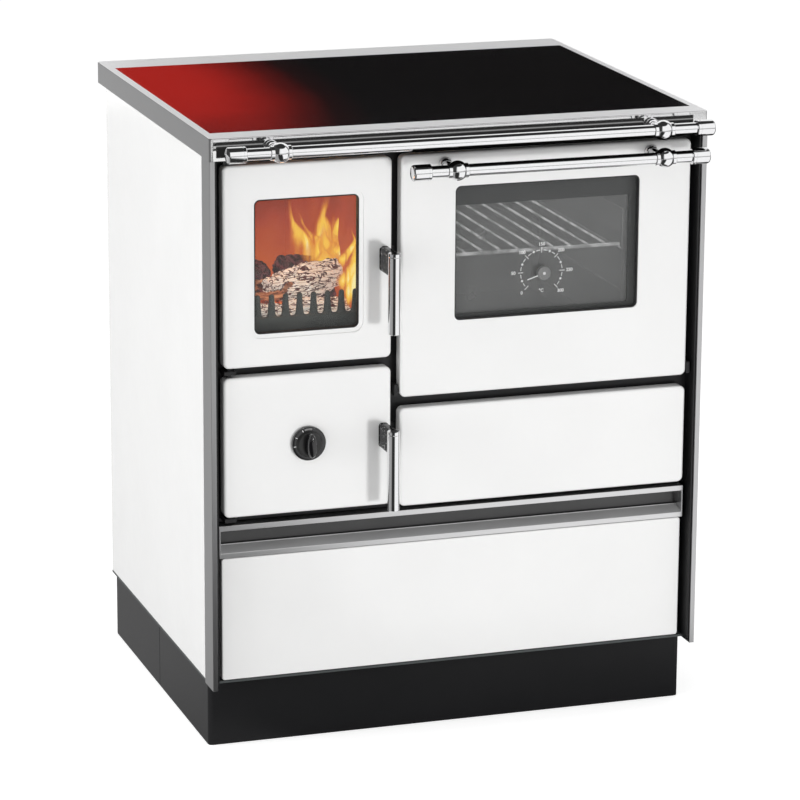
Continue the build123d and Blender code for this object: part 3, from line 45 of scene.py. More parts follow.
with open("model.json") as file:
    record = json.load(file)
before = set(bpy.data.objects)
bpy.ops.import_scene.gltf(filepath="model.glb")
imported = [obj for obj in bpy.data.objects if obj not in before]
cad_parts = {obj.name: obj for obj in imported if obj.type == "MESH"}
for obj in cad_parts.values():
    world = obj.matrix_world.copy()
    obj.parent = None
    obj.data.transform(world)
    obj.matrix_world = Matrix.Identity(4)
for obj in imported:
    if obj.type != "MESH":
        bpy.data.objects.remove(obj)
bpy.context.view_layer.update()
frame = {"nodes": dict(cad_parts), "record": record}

MM = 0.001
WELD = 0.01 * MM
FRONT = Vector((0, -1, 0))
UP = Vector((0, 0, 1))
RIGHT = Vector((1, 0, 0))
BACK = Vector((0, 1, 0))
STANDING = Matrix.Rotation(math.radians(90), 4, "X")
FLAME_MAP = "flow"
DOME_RADIUS = 4.9
GROUND_RADIUS = 4.5

SLOT_OF = {part["node"]: part["material_slot"] for part in frame["record"]["subparts"]}
BODY_OF = {node: body for body, nodes in frame["record"]["behaviour"]["bodies"].items() for node in nodes}


# ---------------------------------------------------------------- sizes and colours
def length(name, description, millimetres):
    """A length setting, given in millimetres."""
    return FloatProperty(name=name, description=description, default=millimetres * MM, unit="LENGTH")


def paint(name, description, colour):
    """A colour setting."""
    return FloatVectorProperty(
        name=name, description=description, default=colour, subtype="COLOR", size=3, min=0.0, max=1.0
    )


def share(name, description, value):
    """A setting between nought and one."""
    return FloatProperty(
        name=name, description=description, default=value, min=0.0, max=1.0, subtype="FACTOR"
    )


def angle(name, description, degrees):
    """An angle setting, given in degrees."""
    return FloatProperty(name=name, description=description, default=math.radians(degrees), unit="ROTATION")


class StoveFinishes(bpy.types.PropertyGroup):
    """Colours and gloss of the stove's outer skin."""

    enamel: paint("Enamel", "White of the side panels and doors", (0.90, 0.90, 0.895))
    enamel_gloss: share("Enamel roughness", "How rough the fired enamel is", 0.14)
    steel: paint("Stainless steel", "Satin steel of the trims and the hob frame", (0.66, 0.66, 0.665))
    chrome: paint("Chrome", "Plated rails, levers and oven wire", (0.88, 0.88, 0.89))
    aluminium: paint("Aluminium", "Anodised grip of the wood drawer", (0.76, 0.76, 0.765))
    frame_paint: paint("Frame paint", "Heat-proof black of the front frame", (0.012, 0.012, 0.013))
    plinth_paint: paint("Plinth paint", "Powder coat of the plinth", (0.011, 0.011, 0.012))
    inner_frame_paint: paint("Oven frame paint", "Inner frame of the oven door", (0.024, 0.024, 0.025))
    cast_iron: paint("Cast iron", "Log guard, grate and firebox floor", (0.040, 0.045, 0.041))
    edge_round: length("Edge rounding", "Softened edges of sheet metal", 0.6)
    glass_lap: length("Glass lap", "How far a door's glass reaches behind its panel", 8)
    grip_bead: length("Grip bead", "Radius of the rounded rear edge of the grip profile's ramp", 0.8)
    grip_depth: length("Grip depth", "How far that edge lies behind the profile's face", 19.6)
    grip_rise: length("Grip rise", "Height of that edge above the profile's lower edge", 14)
    window_corner: length("Window corner", "Corner radius of a window", 8)
    # painted shade: this and the next setting shape a black ring for the shaded gap round a window
    window_shade_line: length("Window line", "Width of the black bead round a window", 1.8)
    window_step: length("Window step", "How far that bead stays behind the panel's face", 1.9)


class StoveHob(bpy.types.PropertyGroup):
    """The glass ceramic top, and the fire's red light that shows through it, painted on as a glow."""

    glass: paint("Hob glass", "Black of the glass ceramic", (0.0035, 0.0025, 0.003))
    # painted light: the fire's red through the glass, laid on the glass as a glow
    heat: paint("Heat", "Red that shows over the firebox", (0.36, 0.012, 0.008))
    painted_glow_depth: length("Heat depth", "How far the red reaches to the front", 780)
    painted_glow_radius: length("Heat radius", "How far the red reaches to the right", 275)
    painted_glow_from_rear: length("Heat from rear", "From the rear edge to the hottest place", 80)


class StoveRails(bpy.types.PropertyGroup):
    """Turned fittings of the hob rail and the oven handle."""

    bar_radius: length("Bar radius", "Outer radius of the chrome tube", 8)
    ball_radius: length("Ball radius", "Balls that carry the tube", 13.5)
    collar_radius: length("Collar radius", "Sleeves on both sides of a ball", 9.6)
    collar_length: length("Collar length", "Both sleeves and the ball, end to end", 29)
    neck_radius: length("Neck radius", "Post between the ball and its rose", 6)
    rose_radius: length("Rose radius", "Foot of a post", 9)
    rose_length: length("Rose length", "Length of the foot of a post", 9)
    cap_radius: length("Cap radius", "End caps of the tube", 11)
    cap_length: length("Cap length", "Length of an end cap", 26)
    rail_post_inset: length("Rail post inset", "From the rail's end to the middle of its ball", 73)
    handle_post_inset: length("Handle post inset", "From the handle's end to the middle of its ball", 63.75)
    grip_chamfer: length("Lever chamfer", "Turned edge at both ends of a lever grip", 0.9)
    boss_round: length("Boss rounding", "Rounded edges of the boss that carries a lever grip", 5)


class StoveControls(bpy.types.PropertyGroup):
    """The air knob and the oven thermometer."""

    skirt_radius: length("Skirt radius", "Knob's skirt", 23.5)
    skirt_height: length("Skirt height", "Thickness of the knob's skirt", 6)
    cone_radius: length("Cone radius", "Knob's cone where it meets the skirt", 18.5)
    cone_top_radius: length("Cone top radius", "Knob's cone at its top", 16)
    cone_height: length("Cone height", "Height of the knob's cone", 4)
    grip_width: length("Grip width", "Width of the knob's grip", 14)
    grip_length: length("Grip length", "Length of the knob's grip", 34)
    grip_height: length("Grip height", "Height of the knob's grip above the cone", 14)
    ring_radius: length("Dial radius", "Radius of the dial's printed ring", 30)
    digit_height: length("Digit height", "Height of the dial's numbers", 6.4)
    line_width: length("Line width", "Width of the dial's printed lines", 0.9)
    scale_start: angle("Scale start", "Where nought stands, anticlockwise from the right", 225)
    scale_sweep: angle("Scale sweep", "From nought to the last number", 270)
    last_number: IntProperty(name="Last number", description="Highest temperature on the dial", default=300)
    number_step: IntProperty(name="Number step", description="Between two numbers on the dial", default=50)


class StoveFire(bpy.types.PropertyGroup):
    """The burning logs in the firebox."""

    seed: IntProperty(name="Seed", description="Picks the shapes of coals and bark", default=11)
    wall_glow: paint("Wall glow", "Light on the bricks", (0.33, 0.037, 0.013))
    flame_core: paint("Flame core", "Hottest part of a flame", (1.0, 0.64, 0.075))
    flame_edge: paint("Flame edge", "Coolest part of a flame", (0.66, 0.12, 0.018))
    ember: paint("Ember", "Glowing coal", (1.0, 0.10, 0.012))
    coals: IntProperty(name="Coals", description="Lumps on the firebox floor", default=70)


def watts(name, description, power):
    """A lamp's power."""
    return FloatProperty(name=name, description=description, default=power, subtype="POWER")


class StoveStage(bpy.types.PropertyGroup):
    """Camera, lamps and floor."""

    azimuth: angle("Azimuth", "Camera's place round the stove, to the right of its front", -18.46)
    elevation: angle("Elevation", "Camera's height above the horizon", 15.09)
    roll: angle("Roll", "Camera's turn about its own view", 0.36)
    distance: length("Distance", "From the camera to the point it looks at", 5507)
    aim_right: length("Aim right", "The point it looks at, to the right of the middle", 13.1)
    aim_height: length("Aim height", "The point it looks at, above the floor", 393.6)
    lens: FloatProperty(name="Lens", description="Focal length in millimetres", default=173.5)
    sky: share("Sky", "Plain light from all around", 0.62)
    key_power: watts("Key lamp", "Power of the lamp in front", 28)
    overhead_power: watts("Overhead lamp", "Power of the lamp above", 24)
    fill_power: watts("Side lamp", "Power of the lamp to the left", 52)
    oven_power: watts("Oven lamp", "Power of the light inside the oven", 0.25)
    fire_power: watts("Fire lamp", "Power of the light that the fire gives", 0.30)
    floor: paint("Floor", "Pale studio floor", (0.80, 0.80, 0.80))


GROUPS = {
    "stove_finishes": StoveFinishes,
    "stove_hob": StoveHob,
    "stove_rails": StoveRails,
    "stove_controls": StoveControls,
    "stove_fire": StoveFire,
    "stove_stage": StoveStage,
}


# ---------------------------------------------------------------- finishes
class Finish:
    """A material in the making: its nodes, its main shader and the patterns laid on it."""

    def __init__(self, name, colour, roughness, metallic=0.0, **shine):
        self.material = bpy.data.materials.new(name)
        self.material.use_nodes = True
        self.tree = self.material.node_tree
        self.shader = self.tree.nodes["Principled BSDF"]
        self.colour = Vector(colour)
        self.place = self.tree.nodes.new("ShaderNodeTexCoord").outputs["Object"]
        sockets = self.shader.inputs
        sockets["Base Color"].default_value = (*colour, 1.0)
        sockets["Roughness"].default_value = roughness
        sockets["Metallic"].default_value = metallic
        for socket, value in shine.items():
            sockets[socket.replace("_", " ")].default_value = value

    def link(self, output, socket):
        """Joins an output to a socket."""
        self.tree.links.new(output, socket)

    def drive(self, name, output):
        """Feeds a socket of the main shader."""
        self.link(output, self.shader.inputs[name])

    def glow(self, colour, strength=1.0):
        """Lets the surface shine by itself, in the colours of an output."""
        self.drive("Emission Color", colour)
        self.shader.inputs["Emission Strength"].default_value = strength

    def pattern(self, kind, scale, stretch=(1, 1, 1), centre=(0, 0, 0), **values):
        """A texture that stays with the object, stretched along its axes."""
        mapping = self.tree.nodes.new("ShaderNodeMapping")
        mapping.inputs["Scale"].default_value = stretch
        mapping.inputs["Location"].default_value = [-c * s for c, s in zip(centre, stretch)]
        self.link(self.place, mapping.inputs["Vector"])
        texture = self.tree.nodes.new(kind)
        self.link(mapping.outputs["Vector"], texture.inputs["Vector"])
        if scale is not None:
            texture.inputs["Scale"].default_value = scale
        for name, value in values.items():
            if name in texture.inputs:
                texture.inputs[name].default_value = value
            else:
                setattr(texture, name, value)
        return texture.outputs[0]

    def cloud(self, scale, stretch=(1, 1, 1), detail=4.0):
        """Soft uneven clouds."""
        return self.pattern("ShaderNodeTexNoise", scale, stretch, Detail=detail)

    def axis(self, place):
        """One object coordinate: 0, 1 or 2 for right, back or up."""
        parts = self.tree.nodes.new("ShaderNodeSeparateXYZ")
        self.link(self.place, parts.inputs["Vector"])
        return parts.outputs[place]

    def ramp(self, level, *stops):
        """A colour for each level of a pattern, from (level, colour) stops."""
        node = self.tree.nodes.new("ShaderNodeValToRGB")
        elements = node.color_ramp.elements
        while len(elements) < len(stops):
            elements.new(1.0)
        for element, (position, colour) in zip(elements, stops):
            element.position = position
            element.color = (*colour[:3], 1.0)
        self.link(level, node.inputs["Fac"])
        return node.outputs["Color"]

    def spread(self, level, low, high, start=0.0, end=1.0):
        """Maps a level between start and end onto low to high."""
        node = self.tree.nodes.new("ShaderNodeMapRange")
        for name, value in (("From Min", start), ("From Max", end), ("To Min", low), ("To Max", high)):
            node.inputs[name].default_value = value
        self.link(level, node.inputs["Value"])
        return node.outputs["Result"]

    def combine(self, operation, first, second):
        """Two levels, or a level and a number, taken together by one step of arithmetic."""
        node = self.tree.nodes.new("ShaderNodeMath")
        node.operation = operation
        for socket, value in zip(node.inputs, (first, second)):
            if isinstance(value, (int, float)):
                socket.default_value = value
            else:
                self.link(value, socket)
        return node.outputs["Value"]

    def mottle(self, level, amount):
        """Clouds the base colour, a little darker and a little lighter."""
        dark = self.colour * (1 - amount)
        light = self.colour * (1 + amount)
        self.drive("Base Color", self.ramp(level, (0.3, dark), (0.7, light)))

    def relief(self, height, depth):
        """Raises the surface by a pattern, by a depth in millimetres."""
        bump = self.tree.nodes.new("ShaderNodeBump")
        bump.inputs["Distance"].default_value = depth * MM
        self.link(height, bump.inputs["Height"])
        self.drive("Normal", bump.outputs["Normal"])


def sprayed(name, colour, roughness, metallic=0.0, mottle=0.06, pitch=900, depth=0.05, **shine):
    """Paint or coating with a fine even skin."""
    finish = Finish(name, colour, roughness, metallic, **shine)
    finish.mottle(finish.cloud(14), mottle)
    skin = finish.cloud(pitch, detail=2.0)
    finish.drive("Roughness", finish.spread(skin, roughness * 0.85, roughness * 1.15))
    finish.relief(skin, depth)
    return finish.material


def brushed(name, colour, roughness, along, mottle=0.05, depth=0.012):
    """Metal with a fine brushed grain along one axis."""
    stretch = [0.012 if place == along else 1.0 for place in range(3)]
    finish = Finish(name, colour, roughness, 1.0)
    grain = finish.cloud(1700, stretch, detail=5.0)
    finish.mottle(grain, mottle)
    finish.drive("Roughness", finish.spread(grain, roughness * 0.75, roughness * 1.3))
    finish.relief(grain, depth)
    return finish.material


def cast(name, colour, roughness):
    """Sand-cast iron: pitted, with a darker and a lighter cloud."""
    finish = Finish(name, colour, roughness)
    finish.mottle(finish.cloud(45), 0.25)
    sand = finish.cloud(260, detail=6.0)
    finish.drive("Roughness", finish.spread(sand, roughness * 0.8, roughness * 1.25))
    finish.relief(sand, 0.25)
    return finish.material


def knob_gloss():
    """Glossy black moulding."""
    return sprayed("knob_gloss_black", (0.006, 0.006, 0.007), 0.14, pitch=300, depth=0.01, Coat_Weight=0.5)


def black_casting_painted_sparkle():
    """Gloss black over a coarse casting, with pale specks on its bumps that are painted highlights."""
    finish = Finish("gloss_black_casting", (0.004, 0.004, 0.005), 0.12, Specular_IOR_Level=0.12)
    bumps = finish.cloud(430, detail=2.0)
    # painted highlights: pale specks on the highest bumps
    glints = ((0.59, finish.colour), (0.64, (0.03, 0.03, 0.03)), (0.69, (0.65, 0.65, 0.65)))
    finish.drive("Base Color", finish.ramp(bumps, *glints))
    finish.drive("Roughness", finish.spread(finish.cloud(90), 0.10, 0.22))
    finish.relief(bumps, 0.5)
    return finish.material


def fired_enamel(settings):
    """Glossy white enamel with the faint waves that it sets in."""
    roughness = settings.enamel_gloss
    finish = Finish("fired_enamel", settings.enamel, roughness, Coat_Weight=0.25, Coat_Roughness=0.04)
    finish.mottle(finish.cloud(9), 0.012)
    waves = finish.cloud(75, detail=1.0)
    finish.drive("Roughness", finish.spread(waves, roughness * 0.8, roughness * 1.2))
    finish.relief(waves, 0.05)
    return finish.material


def plated_chrome(settings):
    """Mirror chrome with hardly seen polishing marks."""
    finish = Finish("plated_chrome", settings.chrome, 0.05, 1.0)
    marks = finish.cloud(420, detail=5.0)
    finish.mottle(marks, 0.02)
    finish.drive("Roughness", finish.spread(marks, 0.035, 0.075))
    finish.relief(finish.cloud(160, detail=2.0), 0.004)
    return finish.material


def bright_wire(settings):
    """Oven wire with the light it catches through the smoked glass painted on as a glow, in patches."""
    finish = Finish("oven_wire_with_painted_glow", settings.chrome, 0.22, 0.5)
    marks = finish.cloud(60, detail=3.0)
    finish.mottle(marks, 0.1)
    # painted light: the wire glows in patches for the light it catches
    finish.glow(finish.ramp(marks, (0.38, (0.16, 0.16, 0.16)), (0.60, (1.0, 1.0, 1.0))), 1.9)
    finish.relief(marks, 0.05)
    return finish.material


def galvanised(name, colour):
    """Zinc-coated sheet with its spangle."""
    finish = Finish(name, colour, 0.42, 1.0)
    spangle = finish.pattern("ShaderNodeTexVoronoi", 165.0, Randomness=1.0)
    shades = ((0.1, finish.colour * 1.1), (0.8, finish.colour * 0.8))
    finish.drive("Base Color", finish.ramp(spangle, *shades))
    finish.drive("Roughness", finish.spread(spangle, 0.30, 0.52))
    finish.relief(finish.cloud(500), 0.02)
    return finish.material


def speckled_enamel():
    """Dark grey oven enamel with pale specks."""
    grey = (0.085, 0.085, 0.087)
    finish = Finish("speckled_enamel", grey, 0.3, Coat_Weight=0.3, Coat_Roughness=0.1)
    specks = finish.pattern("ShaderNodeTexVoronoi", 420.0, Randomness=1.0)
    finish.drive("Base Color", finish.ramp(specks, (0.10, (0.15, 0.15, 0.15)), (0.17, finish.colour)))
    finish.drive("Roughness", finish.spread(finish.cloud(60), 0.24, 0.4))
    finish.relief(finish.cloud(300), 0.03)
    return finish.material


def clear_glass(name, tint, cover, roughness=0.03):
    """Flat glass that covers a share of what lies behind it, with faint waves and a trace of soot."""
    finish = Finish(name, tint, roughness, Alpha=cover, Specular_IOR_Level=0.06)
    soot = finish.cloud(18)
    finish.mottle(soot, 0.05)
    finish.drive("Roughness", finish.spread(soot, roughness, roughness * 1.6))
    finish.drive("Alpha", finish.spread(soot, cover * 0.85, cover * 1.15))
    finish.relief(finish.cloud(30, detail=1.0), 0.02)
    return finish.material


def hob_glass_finish(settings):
    """Black glass ceramic with the speckle of its underside, and the fire's red light painted on as a glow
    over the firebox.
    """
    finish = Finish("hob_glass_ceramic", settings.glass, 0.08, Specular_IOR_Level=0.14)
    low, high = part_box("hob_glass")
    speckle = finish.cloud(340, detail=2.0)
    veil = finish.cloud(7, detail=2.0)
    reach = (1 / settings.painted_glow_radius, 1 / settings.painted_glow_depth, 1.0)
    painted_glow_centre = (low.x, high.y - settings.painted_glow_from_rear, high.z)
    # painted light: the red glow fades out from its brightest place over the firebox
    hot = finish.pattern("ShaderNodeTexGradient", None, reach, painted_glow_centre, gradient_type="SPHERICAL")
    level = finish.combine("MULTIPLY", hot, finish.spread(veil, 0.85, 1.15))
    level = finish.combine("MULTIPLY", level, finish.spread(speckle, 0.80, 1.16, 0.3, 0.7))
    red = Vector(settings.heat)
    shares = ((0.0, 0.0), (0.16, 0.02), (0.30, 0.18), (0.44, 0.50), (0.66, 0.95), (0.9, 1.0))
    finish.glow(finish.ramp(level, *((position, red * part) for position, part in shares)))
    finish.drive("Base Color", finish.ramp(speckle, (0.2, finish.colour * 0.5), (0.8, finish.colour * 1.5)))
    finish.drive("Roughness", finish.spread(speckle, 0.05, 0.11))
    return finish.material


def braided(name, colour):
    """Woven glass rope or tape."""
    finish = Finish(name, colour, 0.9)
    strands = {"Distortion": 2.5, "Detail": 2.0, "bands_direction": "DIAGONAL"}
    weave = finish.pattern("ShaderNodeTexWave", 700.0 / 6.28, **strands)
    shades = ((0.1, finish.colour * 0.45), (0.8, finish.colour * 1.25))
    finish.drive("Base Color", finish.ramp(weave, *shades))
    finish.drive("Roughness", finish.spread(finish.cloud(90), 0.8, 0.98))
    finish.relief(weave, 0.8)
    return finish.material


def brick_with_painted_firelight(settings):
    """Fireclay brick with the fire's light on it painted as a glow, brighter low down."""
    low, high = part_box("firebricks")
    finish = Finish("brick_with_painted_firelight", (0.30, 0.12, 0.07), 0.85)
    grain = finish.cloud(240, detail=6.0)
    clay = ((0.3, (0.06, 0.02, 0.012)), (0.75, (0.13, 0.05, 0.03)))
    finish.drive("Base Color", finish.ramp(grain, *clay))
    # painted light: the fire's light on the bricks, laid on as a glow in patches, brighter low down
    glow = Vector(settings.wall_glow)
    patches = finish.cloud(11, detail=3.0)
    height = finish.spread(finish.axis(2), 0.25, -0.18, low.z, high.z)
    level = finish.combine("ADD", patches, height)
    brightest_painted_light = Vector((glow.x * 1.35, glow.y * 2.1, glow.z * 1.2))
    finish.glow(finish.ramp(level, (0.25, glow * 0.55), (0.5, glow), (0.8, brightest_painted_light)))
    finish.drive("Roughness", finish.spread(grain, 0.75, 0.95))
    finish.relief(grain, 0.5)
    return finish.material


def ash_bark():
    """Burnt wood under flaking white ash, torn along the grain, with dark cracks."""
    finish = Finish("ash_bark", (0.66, 0.58, 0.54), 0.95)
    torn = {"Detail": 7.0, "Roughness": 0.62, "Distortion": 1.6}
    flakes = finish.pattern("ShaderNodeTexNoise", 105, (0.42, 1, 1.25), **torn)
    plates = finish.pattern("ShaderNodeTexVoronoi", 105.0, (0.34, 1, 1.7), feature="DISTANCE_TO_EDGE")
    ash = finish.spread(flakes, 0.0, 1.0, 0.34, 0.62)
    cracks = finish.spread(plates, 0.22, 1.0, 0.0, 0.10)
    level = finish.combine("MULTIPLY", cracks, ash)
    stops = ((0.14, (0.020, 0.010, 0.014)), (0.30, (0.16, 0.085, 0.085)))
    stops += ((0.42, (0.66, 0.59, 0.53)), (0.6, (0.93, 0.91, 0.87)))
    finish.drive("Base Color", finish.ramp(level, *stops))
    # ember red glows in the cracks; the pale glow on the ash is painted light, the fire's light on it
    heat = ((0.0, (0.10, 0.012, 0.008)), (0.2, (0.012, 0.004, 0.004)), (0.5, (0.36, 0.33, 0.29)))
    finish.glow(finish.ramp(level, *heat))
    finish.relief(level, 2.0)
    return finish.material


def split_wood():
    """Scorched beige wood, darker towards its burnt edges."""
    finish = Finish("split_wood", (0.45, 0.25, 0.14), 0.9)
    grain = finish.cloud(130, (0.3, 1, 1), detail=5.0)
    stops = ((0.34, (0.025, 0.012, 0.010)), (0.50, (0.34, 0.15, 0.08)), (0.66, (0.72, 0.48, 0.30)))
    finish.drive("Base Color", finish.ramp(grain, *stops))
    # a faint ember red in the charred grain, and the fire's light painted as a glow on the pale grain
    finish.glow(finish.ramp(grain, (0.36, (0.02, 0.003, 0.002)), (0.66, (0.20, 0.085, 0.04))))
    finish.relief(grain, 1.2)
    return finish.material


def charcoal():
    """Black coal with a violet bloom and dull red edges."""
    finish = Finish("charcoal", (0.020, 0.012, 0.014), 0.6)
    bloom = finish.cloud(120, detail=6.0)
    violet = ((0.35, (0.006, 0.004, 0.005)), (0.7, (0.10, 0.055, 0.075)))
    finish.drive("Base Color", finish.ramp(bloom, *violet))
    finish.glow(finish.ramp(bloom, (0.45, (0.010, 0.002, 0.003)), (0.74, (0.16, 0.035, 0.035))))
    finish.drive("Roughness", finish.spread(bloom, 0.45, 0.8))
    finish.relief(bloom, 1.5)
    return finish.material


def glowing_coal(settings):
    """Red-hot coal, brightest in its hollows."""
    finish = Finish("glowing_coal", (0.05, 0.02, 0.015), 0.9)
    heat = finish.cloud(70, detail=5.0)
    ember = Vector(settings.ember)
    finish.glow(finish.ramp(heat, (0.38, ember * 0.05), (0.52, ember * 0.55), (0.68, (1.0, 0.42, 0.10))))
    finish.relief(heat, 1.0)
    return finish.material


def flame_finish(settings):
    """A flame: yellow within, orange outside, torn into streaks. It follows the sheet's own map."""
    finish = Finish("flame", (0, 0, 0), 1.0, Specular_IOR_Level=0.0)
    lines = finish.tree.nodes.new("ShaderNodeUVMap")
    lines.uv_map = FLAME_MAP
    parts = finish.tree.nodes.new("ShaderNodeSeparateXYZ")
    finish.link(lines.outputs["UV"], parts.inputs["Vector"])
    across, along = parts.outputs[0], parts.outputs[1]
    streaks = finish.pattern("ShaderNodeTexNoise", 62, (1, 1, 0.16), Detail=4.0, Distortion=0.9)
    wisps = finish.pattern("ShaderNodeTexNoise", 20, (1, 1, 0.30), Detail=2.0, Distortion=0.4)
    wander = finish.spread(wisps, -0.7, 0.7, 0.25, 0.75)
    offset = finish.combine("MULTIPLY", finish.combine("SUBTRACT", across, 0.5), 2.0)
    bent = finish.combine("ADD", offset, wander)
    body = finish.combine("SUBTRACT", 1.0, finish.combine("MULTIPLY", bent, bent))
    rim = finish.combine("SUBTRACT", 1.0, finish.combine("MULTIPLY", offset, offset))
    thick_foot = finish.spread(along, 0.0, 1.0, 0.0, 0.22)
    thin_tip = finish.spread(along, 1.0, 0.0, 0.22, 1.0)
    rise = finish.combine("MULTIPLY", thick_foot, thin_tip)
    level = finish.combine("MULTIPLY", finish.combine("MULTIPLY", body, rim), rise)
    level = finish.combine("MULTIPLY", level, finish.spread(streaks, 0.35, 1.45, 0.32, 0.66))
    core, edge = Vector(settings.flame_core), Vector(settings.flame_edge)
    between = edge * 0.55 + core * 0.45
    finish.glow(finish.ramp(level, (0.05, edge), (0.34, between), (0.66, core), (0.98, (1.0, 0.88, 0.40))))
    finish.drive("Alpha", finish.spread(level, 0.0, 0.95, 0.02, 0.38))
    return finish.material


finishes = {}


def make_finishes():
    """Makes every finish once, each under the plain name that the pieces ask for."""
    scene = bpy.context.scene
    skin, fire = scene.stove_finishes, scene.stove_fire
    steel, aluminium = Vector(skin.steel), Vector(skin.aluminium)
    fine = {"pitch": 500, "depth": 0.01}
    printed = {"pitch": 1500, "depth": 0.01}
    matt = {"pitch": 600, "depth": 0.02}
    finishes.update(
        enamel=fired_enamel(skin),
        chrome=plated_chrome(skin),
        bright_wire=bright_wire(skin),
        # copies of one satin steel, lit and shaded: fronts a little darker, tops lighter, sides darker, as
        # painted light and shade
        steel_up=brushed("satin_steel_front_painted_shade", steel * 0.84, 0.30, 2),
        steel_along=brushed("satin_steel_top_with_painted_light", steel * 1.3, 0.34, 0, mottle=0.03),
        steel_deep=brushed("satin_steel_side_painted_shade", steel * 0.76, 0.34, 1),
        steel_mirror=brushed("polished_steel", (0.84, 0.84, 0.84), 0.07, 0, mottle=0.02, depth=0.003),
        aluminium=brushed("anodised_aluminium", aluminium, 0.30, 0),
        # darker copies of the aluminium for the grip's ramp, recess and top: painted shade
        aluminium_ramp=sprayed("anodised_aluminium_ramp", aluminium * 0.70, 0.42, 0.15, **matt),
        aluminium_deep=sprayed("anodised_aluminium_recess_painted_shade", aluminium * 0.10, 0.5, **matt),
        sheet=galvanised("galvanised_sheet", (0.40, 0.41, 0.42)),
        dark_sheet=sprayed("dark_grey_sheet", (0.10, 0.11, 0.11), 0.5, 0.3),
        zinc=galvanised("zinc_plate", (0.48, 0.48, 0.50)),
        frame_black=sprayed("frame_black", skin.frame_paint, 0.42),
        plinth_black=sprayed("plinth_black", skin.plinth_paint, 0.40, depth=0.08, Specular_IOR_Level=0.35),
        oven_frame=sprayed("oven_frame_grey", skin.inner_frame_paint, 0.5),
        collar_black=sprayed("collar_black", (0.02, 0.02, 0.021), 0.55, depth=0.1),
        heat_steel=sprayed("heat_stained_steel", (0.05, 0.047, 0.046), 0.55, 0.6, mottle=0.3),
        hinge_steel=sprayed("hinge_steel", (0.16, 0.16, 0.165), 0.38, 1.0),
        hinge_black=sprayed("hinge_black", (0.018, 0.018, 0.019), 0.5),
        iron=cast("bare_cast_iron", skin.cast_iron, 0.62),
        boss_black=black_casting_painted_sparkle(),
        knob_black=knob_gloss(),
        knob_cone=sprayed("knob_satin_grey", (0.055, 0.055, 0.055), 0.32, 0.7, pitch=500, depth=0.02),
        marks=sprayed("printed_marks", (0.80, 0.80, 0.80), 0.5, **printed),
        # painted reflection for the knob's skirt, in the same fine skin as the print
        grey_marks=sprayed("knob_painted_reflection", (0.28, 0.28, 0.28), 0.5, **printed),
        hub_grey=sprayed("hub_satin_grey", (0.22, 0.22, 0.22), 0.4, 0.3, **fine),
        brass=sprayed("plain_brass", (0.62, 0.43, 0.16), 0.3, 1.0, **fine),
        rope=braided("glass_rope", (0.17, 0.165, 0.16)),
        tape=braided("fibre_tape", (0.62, 0.60, 0.57)),
        oven_enamel=speckled_enamel(),
        window=clear_glass("heatproof_glass", (0.50, 0.52, 0.51), 0.05),
        smoked=clear_glass("smoked_inner_glass", (0.172, 0.172, 0.172), 0.62, 0.12),
        hob=hob_glass_finish(scene.stove_hob),
        brick=brick_with_painted_firelight(fire),
        ash=ash_bark(),
        wood=split_wood(),
        char=charcoal(),
        coal=glowing_coal(fire),
        flame=flame_finish(fire),
    )


# ---------------------------------------------------------------- making pieces
def join(mesh, other, finish=0):
    """Adds one mesh to another. A finish other than nought is given to all that is added."""
    if finish:
        for face in other.faces:
            face.material_index = finish
    data = bpy.data.meshes.new("joined")
    other.to_mesh(data)
    other.free()
    mesh.from_mesh(data)
    bpy.data.meshes.remove(data)


def corners(made):
    """The points among all that a mesh operator made."""
    return [item for item in made["geom"] if isinstance(item, bmesh.types.BMVert)]


def facing(place, direction):
    """Turns what stands upright into a direction, and moves it to a place."""
    turn = UP.rotation_difference(Vector(direction)).to_matrix().to_4x4()
    return Matrix.Translation(place) @ turn


def on_circle(centre, turn, reach):
    """A place on an upright circle that faces the front."""
    return centre + Vector((math.cos(turn), 0, math.sin(turn))) * reach


def arc(distance, radius, round_radius, start, end, steps=8):
    """Points of an arc in a turned profile, between two angles in degrees."""
    points = []
    for step in range(steps + 1):
        turn = math.radians(start + (end - start) * step / steps)
        points.append((distance + round_radius * math.cos(turn), radius + round_radius * math.sin(turn)))
    return points


def lathe(mesh, profile, start, direction, steps=56, ring=False):
    """Turns a profile of (distance, radius) points round an axis. A ring's profile closes on itself."""
    turned = bmesh.new()
    points = [turned.verts.new((radius, 0, distance)) for distance, radius in profile]
    pairs = list(zip(points, points[1:]))
    if ring:
        pairs.append((points[-1], points[0]))
    edges = [turned.edges.new(pair) for pair in pairs]
    bmesh.ops.spin(
        turned, geom=points + edges, cent=(0, 0, 0), axis=(0, 0, 1), angle=math.tau, steps=steps,
        use_merge=True,
    )
    bmesh.ops.remove_doubles(turned, verts=turned.verts, dist=WELD)
    bmesh.ops.recalc_face_normals(turned, faces=turned.faces)
    turned.transform(facing(start, direction))
    join(mesh, turned)


def block(mesh, centre, size, turn=0.0, bevel=0.0, segments=2):
    """A box with rounded edges, turned about the front-to-back axis."""
    box = bmesh.new()
    bmesh.ops.create_cube(box, size=1.0)
    bmesh.ops.scale(box, vec=size, verts=box.verts)
    if bevel > 0:
        bmesh.ops.bevel(
            box, geom=box.edges, offset=bevel, segments=segments, affect="EDGES", profile=0.5, material=-1,
            clamp_overlap=True,
        )
    box.transform(Matrix.Translation(centre) @ Matrix.Rotation(turn, 4, "Y"))
    join(mesh, box)


